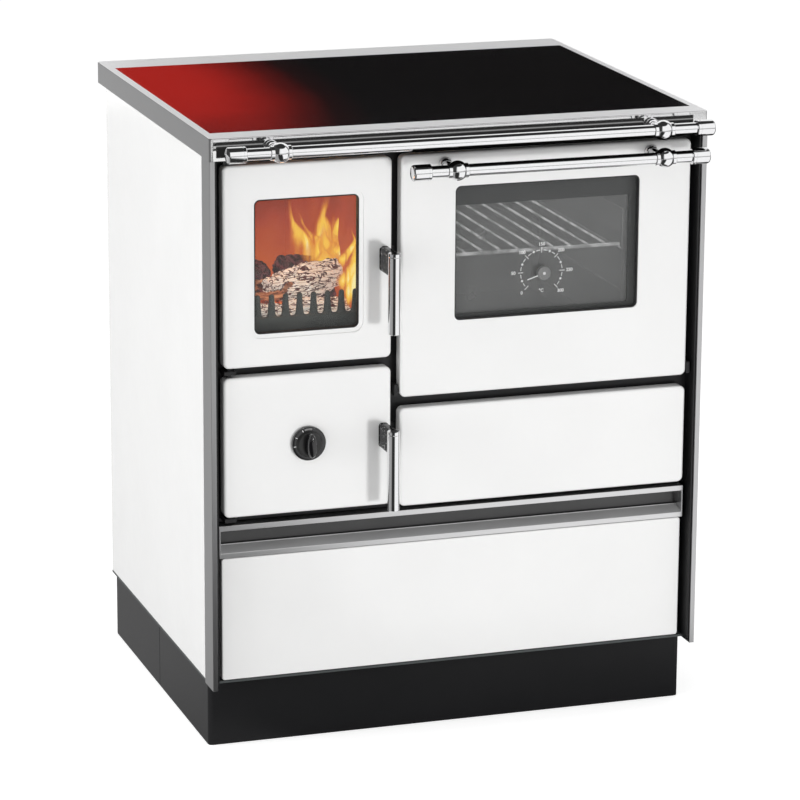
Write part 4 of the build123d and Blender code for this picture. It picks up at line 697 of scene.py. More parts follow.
def piece(name, mesh, body, slot, *materials, replaces=(), sharp=32):
    """Turns a finished mesh into a piece with smooth curves, crisp edges, its finishes and its body."""
    data = bpy.data.meshes.new(name)
    mesh.to_mesh(data)
    mesh.free()
    data.shade_smooth()
    data.set_sharp_from_angle(angle=math.radians(sharp))
    for material in materials:
        data.materials.append(finishes[material])
    made = bpy.data.objects.new(name, data)
    bpy.context.scene.collection.objects.link(made)
    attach(made, body)
    if replaces:
        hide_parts(*replaces)
    return made


def stand_in(node, name, mesh, *materials, sharp=32):
    """A piece that stands for a node, on the node's own body."""
    return piece(name, mesh, BODY_OF[node], SLOT_OF[node], *materials, replaces=(node,), sharp=sharp)


def solid_of(node):
    """A welded copy of a node's solid."""
    mesh = bmesh.new()
    mesh.from_mesh(frame["nodes"][node].data)
    bmesh.ops.remove_doubles(mesh, verts=mesh.verts, dist=WELD)
    return mesh


def keep_flats_flat(thing):
    """Shades wide faces flat beside their rounded edges."""
    weighted = thing.modifiers.new("flat_faces", "WEIGHTED_NORMAL")
    weighted.keep_sharp = True
    return thing


def dressed(node, *materials, bevel=0.0, segments=2, choose=None):
    """A node's solid with softened edges, each face in the finish that is chosen for it."""
    mesh = solid_of(node)
    bmesh.ops.dissolve_limit(mesh, angle_limit=math.radians(0.4), verts=mesh.verts, edges=mesh.edges)
    for face in mesh.faces:
        face.material_index = choose(face) if choose else 0
    made = stand_in(node, node + "_finished", mesh, *materials)
    if bevel > 0:
        rounding = made.modifiers.new("softened_edges", "BEVEL")
        rounding.width = bevel
        rounding.segments = segments
        rounding.limit_method = "ANGLE"
        rounding.angle_limit = math.radians(40)
        rounding.use_clamp_overlap = False
    return keep_flats_flat(made)


def painted(material, *nodes):
    """Gives a finish to nodes whose own shape is right."""
    for node in nodes:
        data = frame["nodes"][node].data
        data.materials.clear()
        data.materials.append(finishes[material])


def middle(node):
    """The middle of a node's box."""
    low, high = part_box(node)
    return (low + high) / 2


# ---------------------------------------------------------------- casing
def make_casing(skin):
    """Plinth, side panels, trims, front frame, back, feet and the plain sheets inside."""
    soft = skin.edge_round
    for node in ("plinth_front", "plinth_rear"):
        dressed(node, "plinth_black", bevel=soft)
    for node in ("side_panel_left", "side_panel_right"):
        dressed(node, "enamel", bevel=soft)
    # the trims' sides take a darker copy of the steel: painted shade
    dressed(
        "corner_trims", "steel_up", "steel_deep", bevel=soft * 0.7,
        choose=lambda face: int(abs(face.normal.x) > 0.7),
    )
    dressed("back_panel", "sheet", bevel=soft * 0.5)
    dressed("front_frame", "frame_black", bevel=soft * 0.5)
    dressed("flue_collar", "collar_black", bevel=soft * 0.7)
    dressed("levelling_feet", "zinc", bevel=soft)
    dressed("cleanout_hatch", "iron", bevel=soft * 2, segments=3)
    # the base plate takes a darker sheet than the galvanised one, a dark strip below the drawer
    painted("dark_sheet", "base_plate")
    painted("sheet", "bay_floor", "drawer_rails")
    painted("heat_steel", "firebox_casing", "smoke_duct")
    painted("hinge_black", "door_hardware", "fire_door_pins", "ash_door_pins", "oven_door_pins")


def screw_head(mesh, place, direction, radius):
    """A domed screw head with a cross recess."""
    height = radius * 0.55
    dome = [(0, 0), (0, radius), (radius * 0.25, radius), (height * 0.8, radius * 0.72), (height, 0)]
    lathe(mesh, dome, place, direction, 20)
    bars = bmesh.new()
    for wide, tall in ((1.0, 0.22), (0.22, 1.0)):
        block(bars, (0, 0, height), (wide * radius, tall * radius, height * 0.5))
    bars.transform(facing(place, direction))
    join(mesh, bars, 1)


def make_screws():
    """Screws that hold the back panel and the flue collar's flange."""
    low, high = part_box("back_panel")
    from_side, from_end = 26 * MM, 14 * MM
    radius = 4.2 * MM
    rows = 5
    pitch = (high.z - low.z - 2 * from_end) / (rows - 1)
    mesh = bmesh.new()
    for row in range(rows):
        for x in (low.x + from_side, high.x - from_side):
            screw_head(mesh, (x, high.y, low.z + from_end + pitch * row), BACK, radius)
    collar = middle("flue_collar")
    flange = Vector((collar.x, high.y + 3 * MM, collar.z))
    flange_reach = 69 * MM
    for degrees in (45, 135, 225, 315):
        screw_head(mesh, on_circle(flange, math.radians(degrees), flange_reach), BACK, radius)
    piece("casing_screws", mesh, "root", SLOT_OF["levelling_feet"], "zinc", "frame_black")


# ---------------------------------------------------------------- hob
def make_hob(skin):
    """The steel hob frame, its glass and the seal under the glass."""
    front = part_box("hob_frame")[0].y

    def steel_by_face(face):
        """Polished front, satin sides in a darker copy as painted shade, satin top in a lighter copy as
        painted light.
        """
        if face.normal.y < -0.7 and face.calc_center_median().y < front + 1 * MM:
            return 1
        return 2 if abs(face.normal.x) > 0.7 else 0

    dressed("hob_frame", "steel_along", "steel_mirror", "steel_deep", choose=steel_by_face)
    dressed("hob_glass", "hob", bevel=skin.edge_round, segments=3)
    painted("tape", "hob_seal")


# ---------------------------------------------------------------- rails and levers
def make_bar(name, tube_node, fittings_node, post_inset, sizes):
    """A chrome bar on two ball posts, with turned collars, roses and end caps."""
    low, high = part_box(fittings_node)
    ball = sizes.ball_radius
    axis_y = low.y + ball
    axis_z = low.z + ball
    wall = 4 * MM
    run = high.x - low.x - 2 * wall
    tube = bmesh.new()
    bar = [(0, 0), (0, sizes.bar_radius), (run, sizes.bar_radius), (run, 0)]
    lathe(tube, bar, (low.x + wall, axis_y, axis_z), RIGHT)
    stand_in(tube_node, name + "_bar", tube, "chrome")

    fittings = bmesh.new()
    collar = collar_profile(sizes)
    post = post_profile(sizes, face_behind(fittings_node) - axis_y, high.y - axis_y)
    for x in (low.x + post_inset, high.x - post_inset):
        lathe(fittings, collar, (x, axis_y, axis_z), RIGHT, ring=True)
        lathe(fittings, post, (x, axis_y, axis_z), BACK, 40)
    for end, inward in ((low.x, RIGHT), (high.x, -RIGHT)):
        lathe(fittings, cap_profile(sizes), (end, axis_y, axis_z), inward)
    stand_in(fittings_node, name + "_fittings", fittings, "chrome")


def collar_profile(sizes):
    """A ball between two short sleeves, open along its axis for the bar."""
    inner = sizes.bar_radius - 0.4 * MM
    half = sizes.collar_length / 2
    sleeve = sizes.collar_radius
    lip = 0.7 * MM
    bead = math.degrees(math.asin(sleeve / sizes.ball_radius))
    profile = [(-half, inner), (-half, sleeve - lip), (-half + lip, sleeve)]
    profile += arc(0, 0, sizes.ball_radius, 180 - bead, bead, 28)
    return profile + [(half - lip, sleeve), (half, sleeve - lip), (half, inner)]


def post_profile(sizes, face, depth):
    """A post from the ball's middle: a neck with a fine ring, a rose against the face and a stud behind."""
    ball, neck = sizes.ball_radius, sizes.neck_radius
    ring = 1.2 * MM
    stud = 3 * MM
    rose = face - sizes.rose_length
    rounding = sizes.rose_length / 2
    profile = [(0, 0), (0, neck), (ball, neck), (ball + ring, neck + 1.1 * MM)]
    profile += [(ball + 2 * ring, neck), (rose - ring, neck)]
    profile += arc(rose + rounding, sizes.rose_radius - rounding, rounding, 180, 20, 10)
    return profile + [(face, sizes.rose_radius - 0.6 * MM), (face, stud), (depth, stud), (depth, 0)]


def face_behind(fittings_node):
    """Depth of the face that a bar's posts stand on."""
    carrier = "hob_frame" if fittings_node == "hob_rail_fittings" else "oven_door_panel"
    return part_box(carrier)[0].y


def cap_profile(sizes):
    """An end cap: a slightly domed end, a rounded rim, a fine groove and a step down to the bar."""
    radius, run = sizes.cap_radius, sizes.cap_length
    rim = 3.4 * MM
    dome = 0.8 * MM
    groove = run - 5 * MM
    groove_floor = radius - 0.5 * MM
    profile = [(0, 0), (dome * 0.25, radius * 0.45), (dome, radius - rim - 0.4 * MM)]
    profile += arc(rim + dome * 0.4, radius - rim, rim, 180, 90, 8)
    profile += [(groove, radius), (groove + 0.3 * MM, groove_floor), (groove + 0.9 * MM, groove_floor)]
    profile += [(groove + 1.2 * MM, radius), (run - 0.8 * MM, radius)]
    return profile + [(run, radius - 0.8 * MM), (run, sizes.bar_radius - 0.4 * MM), (run - 6 * MM, 0)]


def make_levers(sizes):
    """Both levers: a turned chrome grip with a fine groove, on its cast boss."""
    for door in ("fire", "ash"):
        node = door + "_lever_grip"
        low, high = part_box(node)
        radius = (high.x - low.x) / 2
        tall = high.z - low.z
        edge = sizes.grip_chamfer
        groove = 0.5 * MM
        groove_start = tall - 6 * MM
        dish, dish_radius = 0.2 * MM, radius - edge * 2.2
        profile = [(0, 0), (dish, dish_radius), (0, radius - edge * 2), (0, radius - edge), (edge, radius)]
        profile += [(groove_start, radius), (groove_start + groove, radius - groove)]
        profile += [(groove_start + 2 * groove, radius), (tall - edge, radius), (tall, radius - edge)]
        profile += [(tall, radius - edge * 2), (tall - dish, dish_radius), (tall, 0)]
        mesh = bmesh.new()
        lathe(mesh, profile, (middle(node).x, middle(node).y, low.z), UP)
        stand_in(node, door + "_lever_bar", mesh, "chrome")
        make_latch(door, sizes)


def make_latch(door, sizes):
    """The cast boss that carries a grip, with its spindle and tongue behind the door."""
    node = door + "_lever_latch"
    grip_low, grip_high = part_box(door + "_lever_grip")
    door_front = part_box(door + "_door_panel")[0].y
    mesh = solid_of(node)
    boss = [face for face in mesh.faces if face.calc_center_median().y < door_front - 0.5 * MM]
    xs = [vert.co.x for face in boss for vert in face.verts]
    zs = [vert.co.z for face in boss for vert in face.verts]
    bmesh.ops.delete(mesh, geom=boss, context="FACES")
    front = (grip_low.y + grip_high.y) / 2
    size = Vector((max(xs) - min(xs), door_front - 0.3 * MM - front, max(zs) - min(zs)))
    centre = ((max(xs) + min(xs)) / 2, front + size.y / 2, (max(zs) + min(zs)) / 2)
    block(mesh, centre, size, bevel=sizes.boss_round, segments=6)
    stand_in(node, node + "_cast", mesh, "boss_black", sharp=50)


# ---------------------------------------------------------------- doors
def make_doors(skin):
    """Enamelled panels, glass, inner frames and rope seals."""
    soft = skin.edge_round
    for node in ("fire_door_panel", "ash_door_panel", "oven_door_panel", "cleanout_panel", "drawer_front"):
        dressed(node, "enamel")
    dressed("fire_door_inner_frame", "iron", bevel=soft * 0.6)
    dressed("ash_door_inner_plate", "iron", bevel=soft * 0.6)
    dressed("oven_door_inner_frame", "oven_frame", bevel=soft * 0.5)
    for node in ("fire_door_glass", "oven_door_glass"):
        dressed(node, "window")
    dressed("oven_door_inner_glass", "smoked")
    for node in ("fire_door_rope", "ash_door_rope", "oven_door_rope"):
        dressed(node, "rope", bevel=1.5 * MM, segments=4)
    painted("tape", "fire_door_gasket")
    painted("zinc", "air_disc")
    dressed("thermometer_bush", "brass", bevel=soft * 0.5)


def make_window_shade_lines(skin):
    """A black ring round each window, from the glass to the front of the panel's edge: painted shade for
    the shaded gap between the panel and its glass.
    """
    for door in ("fire", "oven"):
        node = door + "_door_glass"
        low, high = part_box(node)
        wide = high.x - low.x - 2 * skin.glass_lap
        tall = high.z - low.z - 2 * skin.glass_lap
        depth = low.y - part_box(door + "_door_panel")[0].y - skin.window_step
        line = bmesh.new()
        bmesh.ops.create_grid(line, x_segments=1, y_segments=1, size=0.5)
        bmesh.ops.scale(line, vec=(wide, tall, 1), verts=line.verts)
        bmesh.ops.bevel(
            line, geom=line.verts, offset=skin.window_corner, segments=6, affect="VERTICES", profile=0.5,
            material=-1, clamp_overlap=True,
        )
        pane = max(line.faces, key=lambda face: face.calc_area())
        bmesh.ops.inset_region(
            line, faces=[pane], thickness=skin.window_shade_line, use_boundary=True, use_even_offset=True
        )
        bmesh.ops.delete(line, geom=[pane], context="FACES_ONLY")
        front = corners(bmesh.ops.extrude_face_region(line, geom=line.faces[:]))
        bmesh.ops.translate(line, vec=(0, 0, depth), verts=front)
        bmesh.ops.recalc_face_normals(line, faces=line.faces)
        behind = Vector((middle(node).x, low.y - 0.1 * MM, middle(node).z))
        line.transform(Matrix.Translation(behind) @ STANDING)
        # painted shade: the ring stands for the shaded gap between the panel and its glass
        piece(door + "_window_shade_line", line, BODY_OF[node], SLOT_OF[node], "frame_black")


# ---------------------------------------------------------------- air knob
def make_knob(sizes):
    """The air knob: skirt, cone, grip and spindle, and then its printed marks, with a grey patch on the
    skirt's top that is a painted reflection.
    """
    node = "air_knob"
    centre = middle(node)
    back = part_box("ash_door_panel")[0].y - 0.3 * MM
    seat = Vector((centre.x, back, centre.z))
    skirt, cone = sizes.skirt_radius, sizes.cone_radius
    skirt_top = sizes.skirt_height
    top = skirt_top + sizes.cone_height
    chamfer = 1.5 * MM
    spindle, spindle_end = 4 * MM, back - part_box(node)[1].y
    profile = [(spindle_end, 0), (spindle_end, spindle), (0, spindle), (0, skirt - 0.5 * MM)]
    profile += [(0.6 * MM, skirt), (skirt_top - chamfer, skirt)]
    profile += arc(skirt_top - chamfer, skirt - chamfer, chamfer, 90, 0, 5)
    profile += [(skirt_top, cone + 0.6 * MM), (skirt_top, 0)]
    body = bmesh.new()
    lathe(body, profile, seat, FRONT, 72)
    rim, round_over = sizes.cone_top_radius, 0.4 * MM
    profile = [(skirt_top, 0), (skirt_top, cone), (top - 0.5 * MM, rim + round_over)]
    profile += [(top, rim - round_over), (top, 0)]
    rise = bmesh.new()
    lathe(rise, profile, seat, FRONT, 72)
    join(body, rise, 1)
    grip = knob_grip(sizes)
    grip.transform(Matrix.Translation(seat + FRONT * (top - 0.2 * MM)) @ STANDING)
    join(body, grip)
    stand_in(node, "air_knob_turned", body, "knob_black", "knob_cone")

    marks = bmesh.new()
    band = (skirt - chamfer + cone) / 2
    face = seat + FRONT * skirt_top
    dash, patch = (3.0 * MM, 0.3 * MM, 0.9 * MM), (2.4 * MM, 0.26 * MM, 1.7 * MM)
    pointer = (1.1 * MM, 0.8 * MM, 4.5 * MM)
    for degrees in (117, 153, 188):
        turn = math.radians(degrees)
        block(marks, on_circle(face, turn, band), dash, -turn)
    # painted reflection: short grey bars on the skirt's top, where it would mirror the light
    for degrees in range(82, 110, 4):
        turn = math.radians(degrees)
        grey = bmesh.new()
        block(grey, on_circle(face, turn, band), patch, -turn)
        join(marks, grey, 1)
    tip = seat + FRONT * (top + sizes.grip_height - 0.6 * MM) + UP * (sizes.grip_length * 0.28)
    block(marks, tip, pointer, bevel=0.2 * MM)
    piece("air_knob_marks", marks, BODY_OF[node], SLOT_OF["thermometer_pointer"], "marks", "grey_marks")


def knob_grip(sizes):
    """The knob's oval grip, raised ring by ring, each a share of its height and of its width."""
    grip = bmesh.new()
    bmesh.ops.create_circle(grip, cap_ends=True, cap_tris=False, segments=64, radius=0.5)
    bmesh.ops.scale(grip, vec=(sizes.grip_width, sizes.grip_length, 1), verts=grip.verts)
    tall = sizes.grip_height
    for height, narrow in ((0.55, 0.97), (0.80, 0.90), (0.93, 0.74), (1.0, 0.42)):
        cap = [face for face in grip.faces if face.normal.z > 0.9][:1]
        ring = corners(bmesh.ops.extrude_face_region(grip, geom=cap))
        reach = max(vert.co.x for vert in ring) / (sizes.grip_width / 2)
        bmesh.ops.scale(grip, vec=(narrow / reach, narrow ** 0.5 / reach ** 0.5, 1), verts=ring)
        for vert in ring:
            vert.co.z = tall * height
        grip.normal_update()
    caps = [face for face in grip.faces if len(face.verts) > 4]
    inside = [face for face in caps if 1e-6 < face.calc_center_median().z < tall * 0.99]
    bmesh.ops.delete(grip, geom=inside, context="FACES_ONLY")
    bmesh.ops.recalc_face_normals(grip, faces=grip.faces)
    return grip


# ---------------------------------------------------------------- thermometer
def words(mesh, text, size, place):
    """Printed words that face the front, centred on a place."""
    curve = bpy.data.curves.new("printed", "FONT")
    curve.body = text
    curve.size = size
    curve.align_x = "CENTER"
    curve.align_y = "CENTER"
    curve.offset = size * 0.03
    curve.extrude = 0.06 * MM
    sample = bpy.data.objects.new("printed", curve)
    bpy.context.scene.collection.objects.link(sample)
    data = bpy.data.meshes.new_from_object(sample)
    data.transform(Matrix.Translation(place) @ STANDING)
    mesh.from_mesh(data)
    bpy.data.objects.remove(sample)
    bpy.data.curves.remove(curve)
    bpy.data.meshes.remove(data)


def make_scale(sizes):
    """The thermometer's ring: a tick and a number at each step, two dashes and a square between them."""
    hub = middle("thermometer_bush")
    centre = Vector((hub.x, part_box("oven_door_inner_glass")[0].y - 0.08 * MM, hub.z))
    line, radius = sizes.line_width, sizes.ring_radius
    square, tick = 2.9 * MM, 7.5 * MM
    number_gap, sideways = 8.2 * MM, 0.28
    print_depth = 0.12 * MM
    steps = sizes.last_number // sizes.number_step
    step_turn = sizes.scale_sweep / steps
    dash_share, dash_places = 0.2375, (0.23, 0.77)
    dash = radius * step_turn * dash_share
    mesh = bmesh.new()
    for index in range(steps):
        for part_of_step in dash_places:
            turn = sizes.scale_start - step_turn * (index + part_of_step)
            block(mesh, on_circle(centre, turn, radius), (line, print_depth, dash), -turn)
        turn = sizes.scale_start - step_turn * (index + 0.5)
        block(mesh, on_circle(centre, turn, radius), (square, print_depth, square), math.radians(45) - turn)
    for index in range(steps + 1):
        turn = sizes.scale_start - step_turn * index
        block(mesh, on_circle(centre, turn, radius), (tick, print_depth, line), -turn)
        reach = radius + number_gap * (1.0 + sideways * abs(math.cos(turn)))
        words(mesh, str(index * sizes.number_step), sizes.digit_height, on_circle(centre, turn, reach))
    words(mesh, "°C", sizes.digit_height, centre - UP * (radius * 0.88))
    piece("thermometer_scale", mesh, "oven_door", SLOT_OF["thermometer_pointer"], "marks")


def make_hand():
    """The thermometer's pointer: a turned hub, a needle and the dot in the middle."""
    node = "thermometer_pointer"
    hub = middle("thermometer_bush")
    low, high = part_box(node)
    radius = high.x - hub.x
    seat = Vector((hub.x, low.y, hub.z))
    deep = 6 * MM
    edge = 0.8 * MM
    pin = 1.5 * MM
    profile = [(0, 0), (0, radius * 0.62), (0.35 * MM, radius * 0.66), (0, radius * 0.72)]
    profile += [(0, radius - edge), (edge, radius), (deep, radius), (deep, pin)]
    profile += [(high.y - low.y, pin), (high.y - low.y, 0)]
    pointer = bmesh.new()
    lathe(pointer, profile, seat, BACK, 48)
    tip = Vector((low.x, low.y + edge, needle_tip_z(node, low.x)))
    run = tip - Vector((hub.x, tip.y, hub.z))
    needle = bmesh.new()
    needle_middle = Vector((hub.x, low.y + 1.2 * MM, hub.z)) + run / 2
    needle_size = (run.length, 0.9 * MM, 1.5 * MM)
    block(needle, needle_middle, needle_size, -math.atan2(run.z, run.x), bevel=0.2 * MM)
    join(pointer, needle, 1)
    dot = bmesh.new()
    lathe(dot, [(0, 0), (0, 2.1 * MM), (0.5 * MM, 1.9 * MM), (0.6 * MM, 0)], seat, FRONT, 24)
    join(pointer, dot, 1)
    stand_in(node, "thermometer_hand", pointer, "hub_grey", "marks")


def needle_tip_z(node, edge_x):
    """Height of the needle's tip, from the solid's own outermost points."""
    tips = [vert.co.z for vert in frame["nodes"][node].data.vertices if vert.co.x < edge_x + 0.7 * MM]
    return sum(tips) / len(tips)


# ---------------------------------------------------------------- firebox
def make_log_guard():
    """The cast guard in front of the logs: a low bar with rounded teeth that flare into it."""
    node = "log_guard"
    low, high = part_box(node)
    teeth, pitch, base = 9, 19.5 * MM, 35 * MM
    deep = high.y - low.y
    centre = middle(node)
    mesh = bmesh.new()
    bar = (high.x - low.x, deep, base)
    block(mesh, (centre.x, centre.y, low.z + base / 2), bar, bevel=1.6 * MM, segments=3)
    tall = high.z - low.z - base
    flare = pitch / 2 - 0.2 * MM
    body, tip = 5.4 * MM, 3.9 * MM
    inside = 3 * MM
    deeper_at_tip = 0.55
    profile = [(-inside, 0), (-inside, flare), (0, flare)]
    profile += [(0.5 * MM, body + 2.4 * MM), (1.7 * MM, body + 1.1 * MM), (3.6 * MM, body + 0.3 * MM)]
    profile += [(7 * MM, body - 0.2 * MM)] + arc(tall - tip, 0, tip, 68, 0, 8)
    for index in range(teeth):
        x = centre.x + (index - (teeth - 1) / 2) * pitch
        tooth = bmesh.new()
        lathe(tooth, profile, (0, 0, 0), UP, 32)
        bmesh.ops.scale(tooth, vec=(1, deep / 2 / flare, 1), verts=tooth.verts)
        for vert in tooth.verts:
            vert.co.y *= 1 + deeper_at_tip * min(max(vert.co.z / tall, 0), 1)
        bmesh.ops.translate(tooth, vec=(x, centre.y, low.z + base), verts=tooth.verts)
        join(mesh, tooth)
    stand_in(node, "log_guard_teeth", mesh, "iron", sharp=50)


def make_firebox():
    """Bricks, which stay out of reflections, with the log guard, grate, floor and ash pan."""
    dressed("firebricks", "brick", bevel=1.5 * MM).visible_glossy = False
    make_log_guard()
    dressed("fire_grate", "iron", bevel=1.0 * MM)
    dressed("firebox_floor", "iron", bevel=1.0 * MM)
    dressed("ash_pan", "sheet", bevel=0.5 * MM)


def crackle(mesh, cell, depth, rough, seed):
    """Cracks a surface into raised plates and roughens it."""
    crack_width = 0.28
    offset = Vector((seed * 13.7, seed * 5.1, seed * 9.3))
    mesh.normal_update()
    for vert in mesh.verts:
        near = noise.voronoi(vert.co / cell + offset)[0]
        crack = min((near[1] - near[0]) / crack_width, 1.0)
        swell = noise.fractal(vert.co / (cell * 2.2) + offset, 1.0, 2.0, 4)
        vert.co += vert.normal * (depth * (crack - 1.0) + rough * swell)


def log_between(mesh, start, end, radius, seed, cell=11 * MM, depth=2.5 * MM, rough=3.5 * MM):
    """A burnt log between two points."""
    run = Vector(end) - Vector(start)
    rows = max(int(run.length / (2.2 * MM)), 6)
    profile = [(0, 0), (0, radius * 0.5), (0, radius * 0.92)]
    profile += [(run.length * step / rows, radius * (1 - 0.12 * step / rows)) for step in range(1, rows)]
    profile += [(run.length, radius * 0.8), (run.length, radius * 0.4), (run.length, 0)]
    log = bmesh.new()
    lathe(log, profile, start, run.normalized(), 64)
    crackle(log, cell, depth, rough, seed)
    join(mesh, log)


def lump(mesh, centre, size, seed, finish=0):
    """A broken coal."""
    coal = bmesh.new()
    bmesh.ops.create_icosphere(coal, subdivisions=3, radius=1.0)
    offset = Vector((seed * 3.3, seed * 7.9, seed * 1.7))
    for vert in coal.verts:
        facet = noise.voronoi(vert.co * 1.3 + offset)[0][0]
        vert.co *= 0.72 + 0.45 * facet + 0.22 * noise.noise(vert.co * 2.4 + offset)
    turn = Matrix.Rotation(seed * 1.9, 4, Vector((0.3, 0.5, 0.8)))
    stretch = Matrix.Diagonal((*size, 1.0))
    coal.transform(Matrix.Translation(centre) @ turn @ stretch)
    join(mesh, coal, finish)


def tongue(mesh, root, tip, width, bend, curl):
    """One flame: a tall sheet that narrows to its tip along a bent path."""
    sheet = bmesh.new()
    sheet.loops.layers.uv.new(FLAME_MAP)
    bmesh.ops.create_grid(sheet, x_segments=10, y_segments=30, size=0.5, calc_uvs=True)
    root, tip = Vector(root), Vector(tip)
    knee = (root + tip) / 2 + Vector((bend, 0, 0))
    for vert in sheet.verts:
        across, along = vert.co.x * 2, vert.co.y + 0.5
        spine = root * (1 - along) ** 2 + knee * 2 * along * (1 - along) + tip * along ** 2
        belly = (0.35 + 0.65 * math.sin(math.pi * min(along * 1.5, 1.0)) ** 0.8) if along < 0.67 else 0.35
        narrow = belly * (1 - along) ** 0.45
        waver = 4 * MM * math.sin(along * 9 + root.x * 400)
        vert.co = spine + Vector((across * width / 2 * narrow + waver, curl * (across * across - 1), 0))
    join(mesh, sheet)


def make_fire(settings):
    """Burning logs on the grate, coals round them and flames over them."""
    body, slot = "root", SLOT_OF["firebricks"]
    chance = random.Random(settings.seed)
    floor_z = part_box("firebox_floor")[1].z
    guard_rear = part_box("log_guard")[1].y
    bricks_low, bricks_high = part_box("firebricks")
    brick = 20.5 * MM
    left = bricks_low.x + brick
    right = bricks_high.x - brick

    def spot(across, back, up):
        """A point in millimetres from the left bricks (below nought, from the right ones)."""
        side = left if across >= 0 else right
        return Vector((side + across * MM, guard_rear + back * MM, floor_z + up * MM))

    def over(across, height, depth):
        """A point over the logs, by its share of the mouth's width and its height above the floor."""
        return (left + (right - left) * across, guard_rear + 104 * MM + depth, floor_z + height * MM)

    # each log: where it starts and ends, and its radius
    ash = (((34, 26, 25), (-12, 34, 25), 25), ((82, 68, 52), (-6, 96, 66), 25))
    ash += (((60, 54, 60), (128, 84, 76), 13),)
    charred = (((4, 110, 24), (-4, 116, 24), 24), ((92, 108, 72), (-10, 132, 66), 18))
    seed = 1
    for name, finish, logs in (("ash_covered_logs", "ash", ash), ("charred_logs", "char", charred)):
        mesh = bmesh.new()
        for start, end, radius in logs:
            log_between(mesh, spot(*start), spot(*end), radius * MM, seed)
            seed += 1
        piece(name, mesh, body, slot, finish, sharp=60)

    split = bmesh.new()
    log_between(split, spot(5, 50, 30), spot(84, 42, 38), 24 * MM, seed, cell=16 * MM)
    for index in range(16):
        place = spot(chance.uniform(10, 92), chance.uniform(38, 84), chance.uniform(56, 70))
        size = [chance.uniform(*limits) * MM for limits in ((8, 15), (5, 9), (3, 6))]
        lump(split, place, size, index)
    piece("split_wood_pieces", split, body, slot, "wood", sharp=60)

    coals = bmesh.new()
    for index in range(settings.coals):
        x = chance.uniform(left + 8 * MM, right - 8 * MM)
        y = chance.uniform(guard_rear + 10 * MM, guard_rear + 150 * MM)
        z = floor_z + chance.uniform(3, 12) * MM
        size = chance.uniform(5, 10) * MM
        lump(coals, (x, y, z), (size, size, size * 0.8), index + 40, int(chance.random() < 0.35))
    for index in range(15):
        place = spot(chance.uniform(14, 70), chance.uniform(66, 110), chance.uniform(62, 84))
        size = chance.uniform(6, 12) * MM
        lump(coals, place, (size * 1.2, size, size * 0.8), index + 130)
    for index in range(5):
        place = spot(24 + 11 * index, 24, 52 - 1.6 * index)
        lump(coals, place, (8 * MM, 4 * MM, 3.2 * MM), index + 170, 1)
    piece("coals", coals, body, slot, "char", "coal", sharp=60)

    # each flame: its root and foot, its tip and top, and its width
    haze = ((0.80, 52, 0.64, 168, 52), (0.90, 50, 0.98, 178, 92))
    tall = ((0.89, 70, 0.655, 154, 34), (0.93, 68, 1.06, 176, 44))
    tall += ((0.91, 58, 0.93, 152, 96), (0.98, 60, 0.84, 138, 76))
    low = ((0.90, 60, 0.97, 116, 66), (0.87, 56, 0.86, 116, 70), (0.96, 60, 1.0, 100, 50))
    beside = ((0.88, 34, 1.0, 146, 60), (0.98, 34, 0.99, 122, 46))
    beside += ((0.86, 58, 0.99, 134, 44), (0.86, 92, 0.96, 150, 24))
    flames = bmesh.new()
    for depth, tongues in ((0.044, haze), (0.012, tall), (-0.004, low)):
        for root, foot, tip, top, width in tongues:
            bend = (root - tip) * 60 * MM
            tongue(flames, over(root, foot, depth), over(tip, top, depth), width * MM, bend, 8 * MM)
            depth -= 0.0035
    depth = -0.092
    for root, foot, tip, top, width in beside:
        tongue(flames, over(root, foot, depth), over(tip, top, depth), width * MM, 8 * MM, 5 * MM)
    piece("flames", flames, body, slot, "flame", sharp=180).visible_glossy = False


# ---------------------------------------------------------------- oven
def make_oven():
    """The oven's enamelled box, its runners and the wire rack."""
    dressed("oven_box", "oven_enamel", bevel=0.4 * MM)
    dressed("rack_runners", "chrome")
    node = "oven_rack"
    low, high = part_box(node)
    bar, wire, rounded = 2.4 * MM, 1.6 * MM, 0.8 * MM
    pitch, margin = 25.5 * MM, 12 * MM
    mesh = bmesh.new()

    def round_bar(start, direction, radius, run):
        """A bar with rounded ends."""
        profile = [(0, 0), (0, radius - rounded), (rounded, radius), (run - rounded, radius)]
        lathe(mesh, profile + [(run, radius - rounded), (run, 0)], start, direction, 20)

    for y in (low.y + bar, high.y - bar):
        round_bar((low.x, y, low.z + bar), RIGHT, bar, high.x - low.x)
    wires = int((high.x - low.x - 2 * margin) // pitch) + 1
    for index in range(wires):
        x = middle(node).x + (index - (wires - 1) / 2) * pitch
        round_bar((x, low.y, high.z - wire), BACK, wire, high.y - low.y)
    stand_in(node, "oven_rack_wires", mesh, "bright_wire")


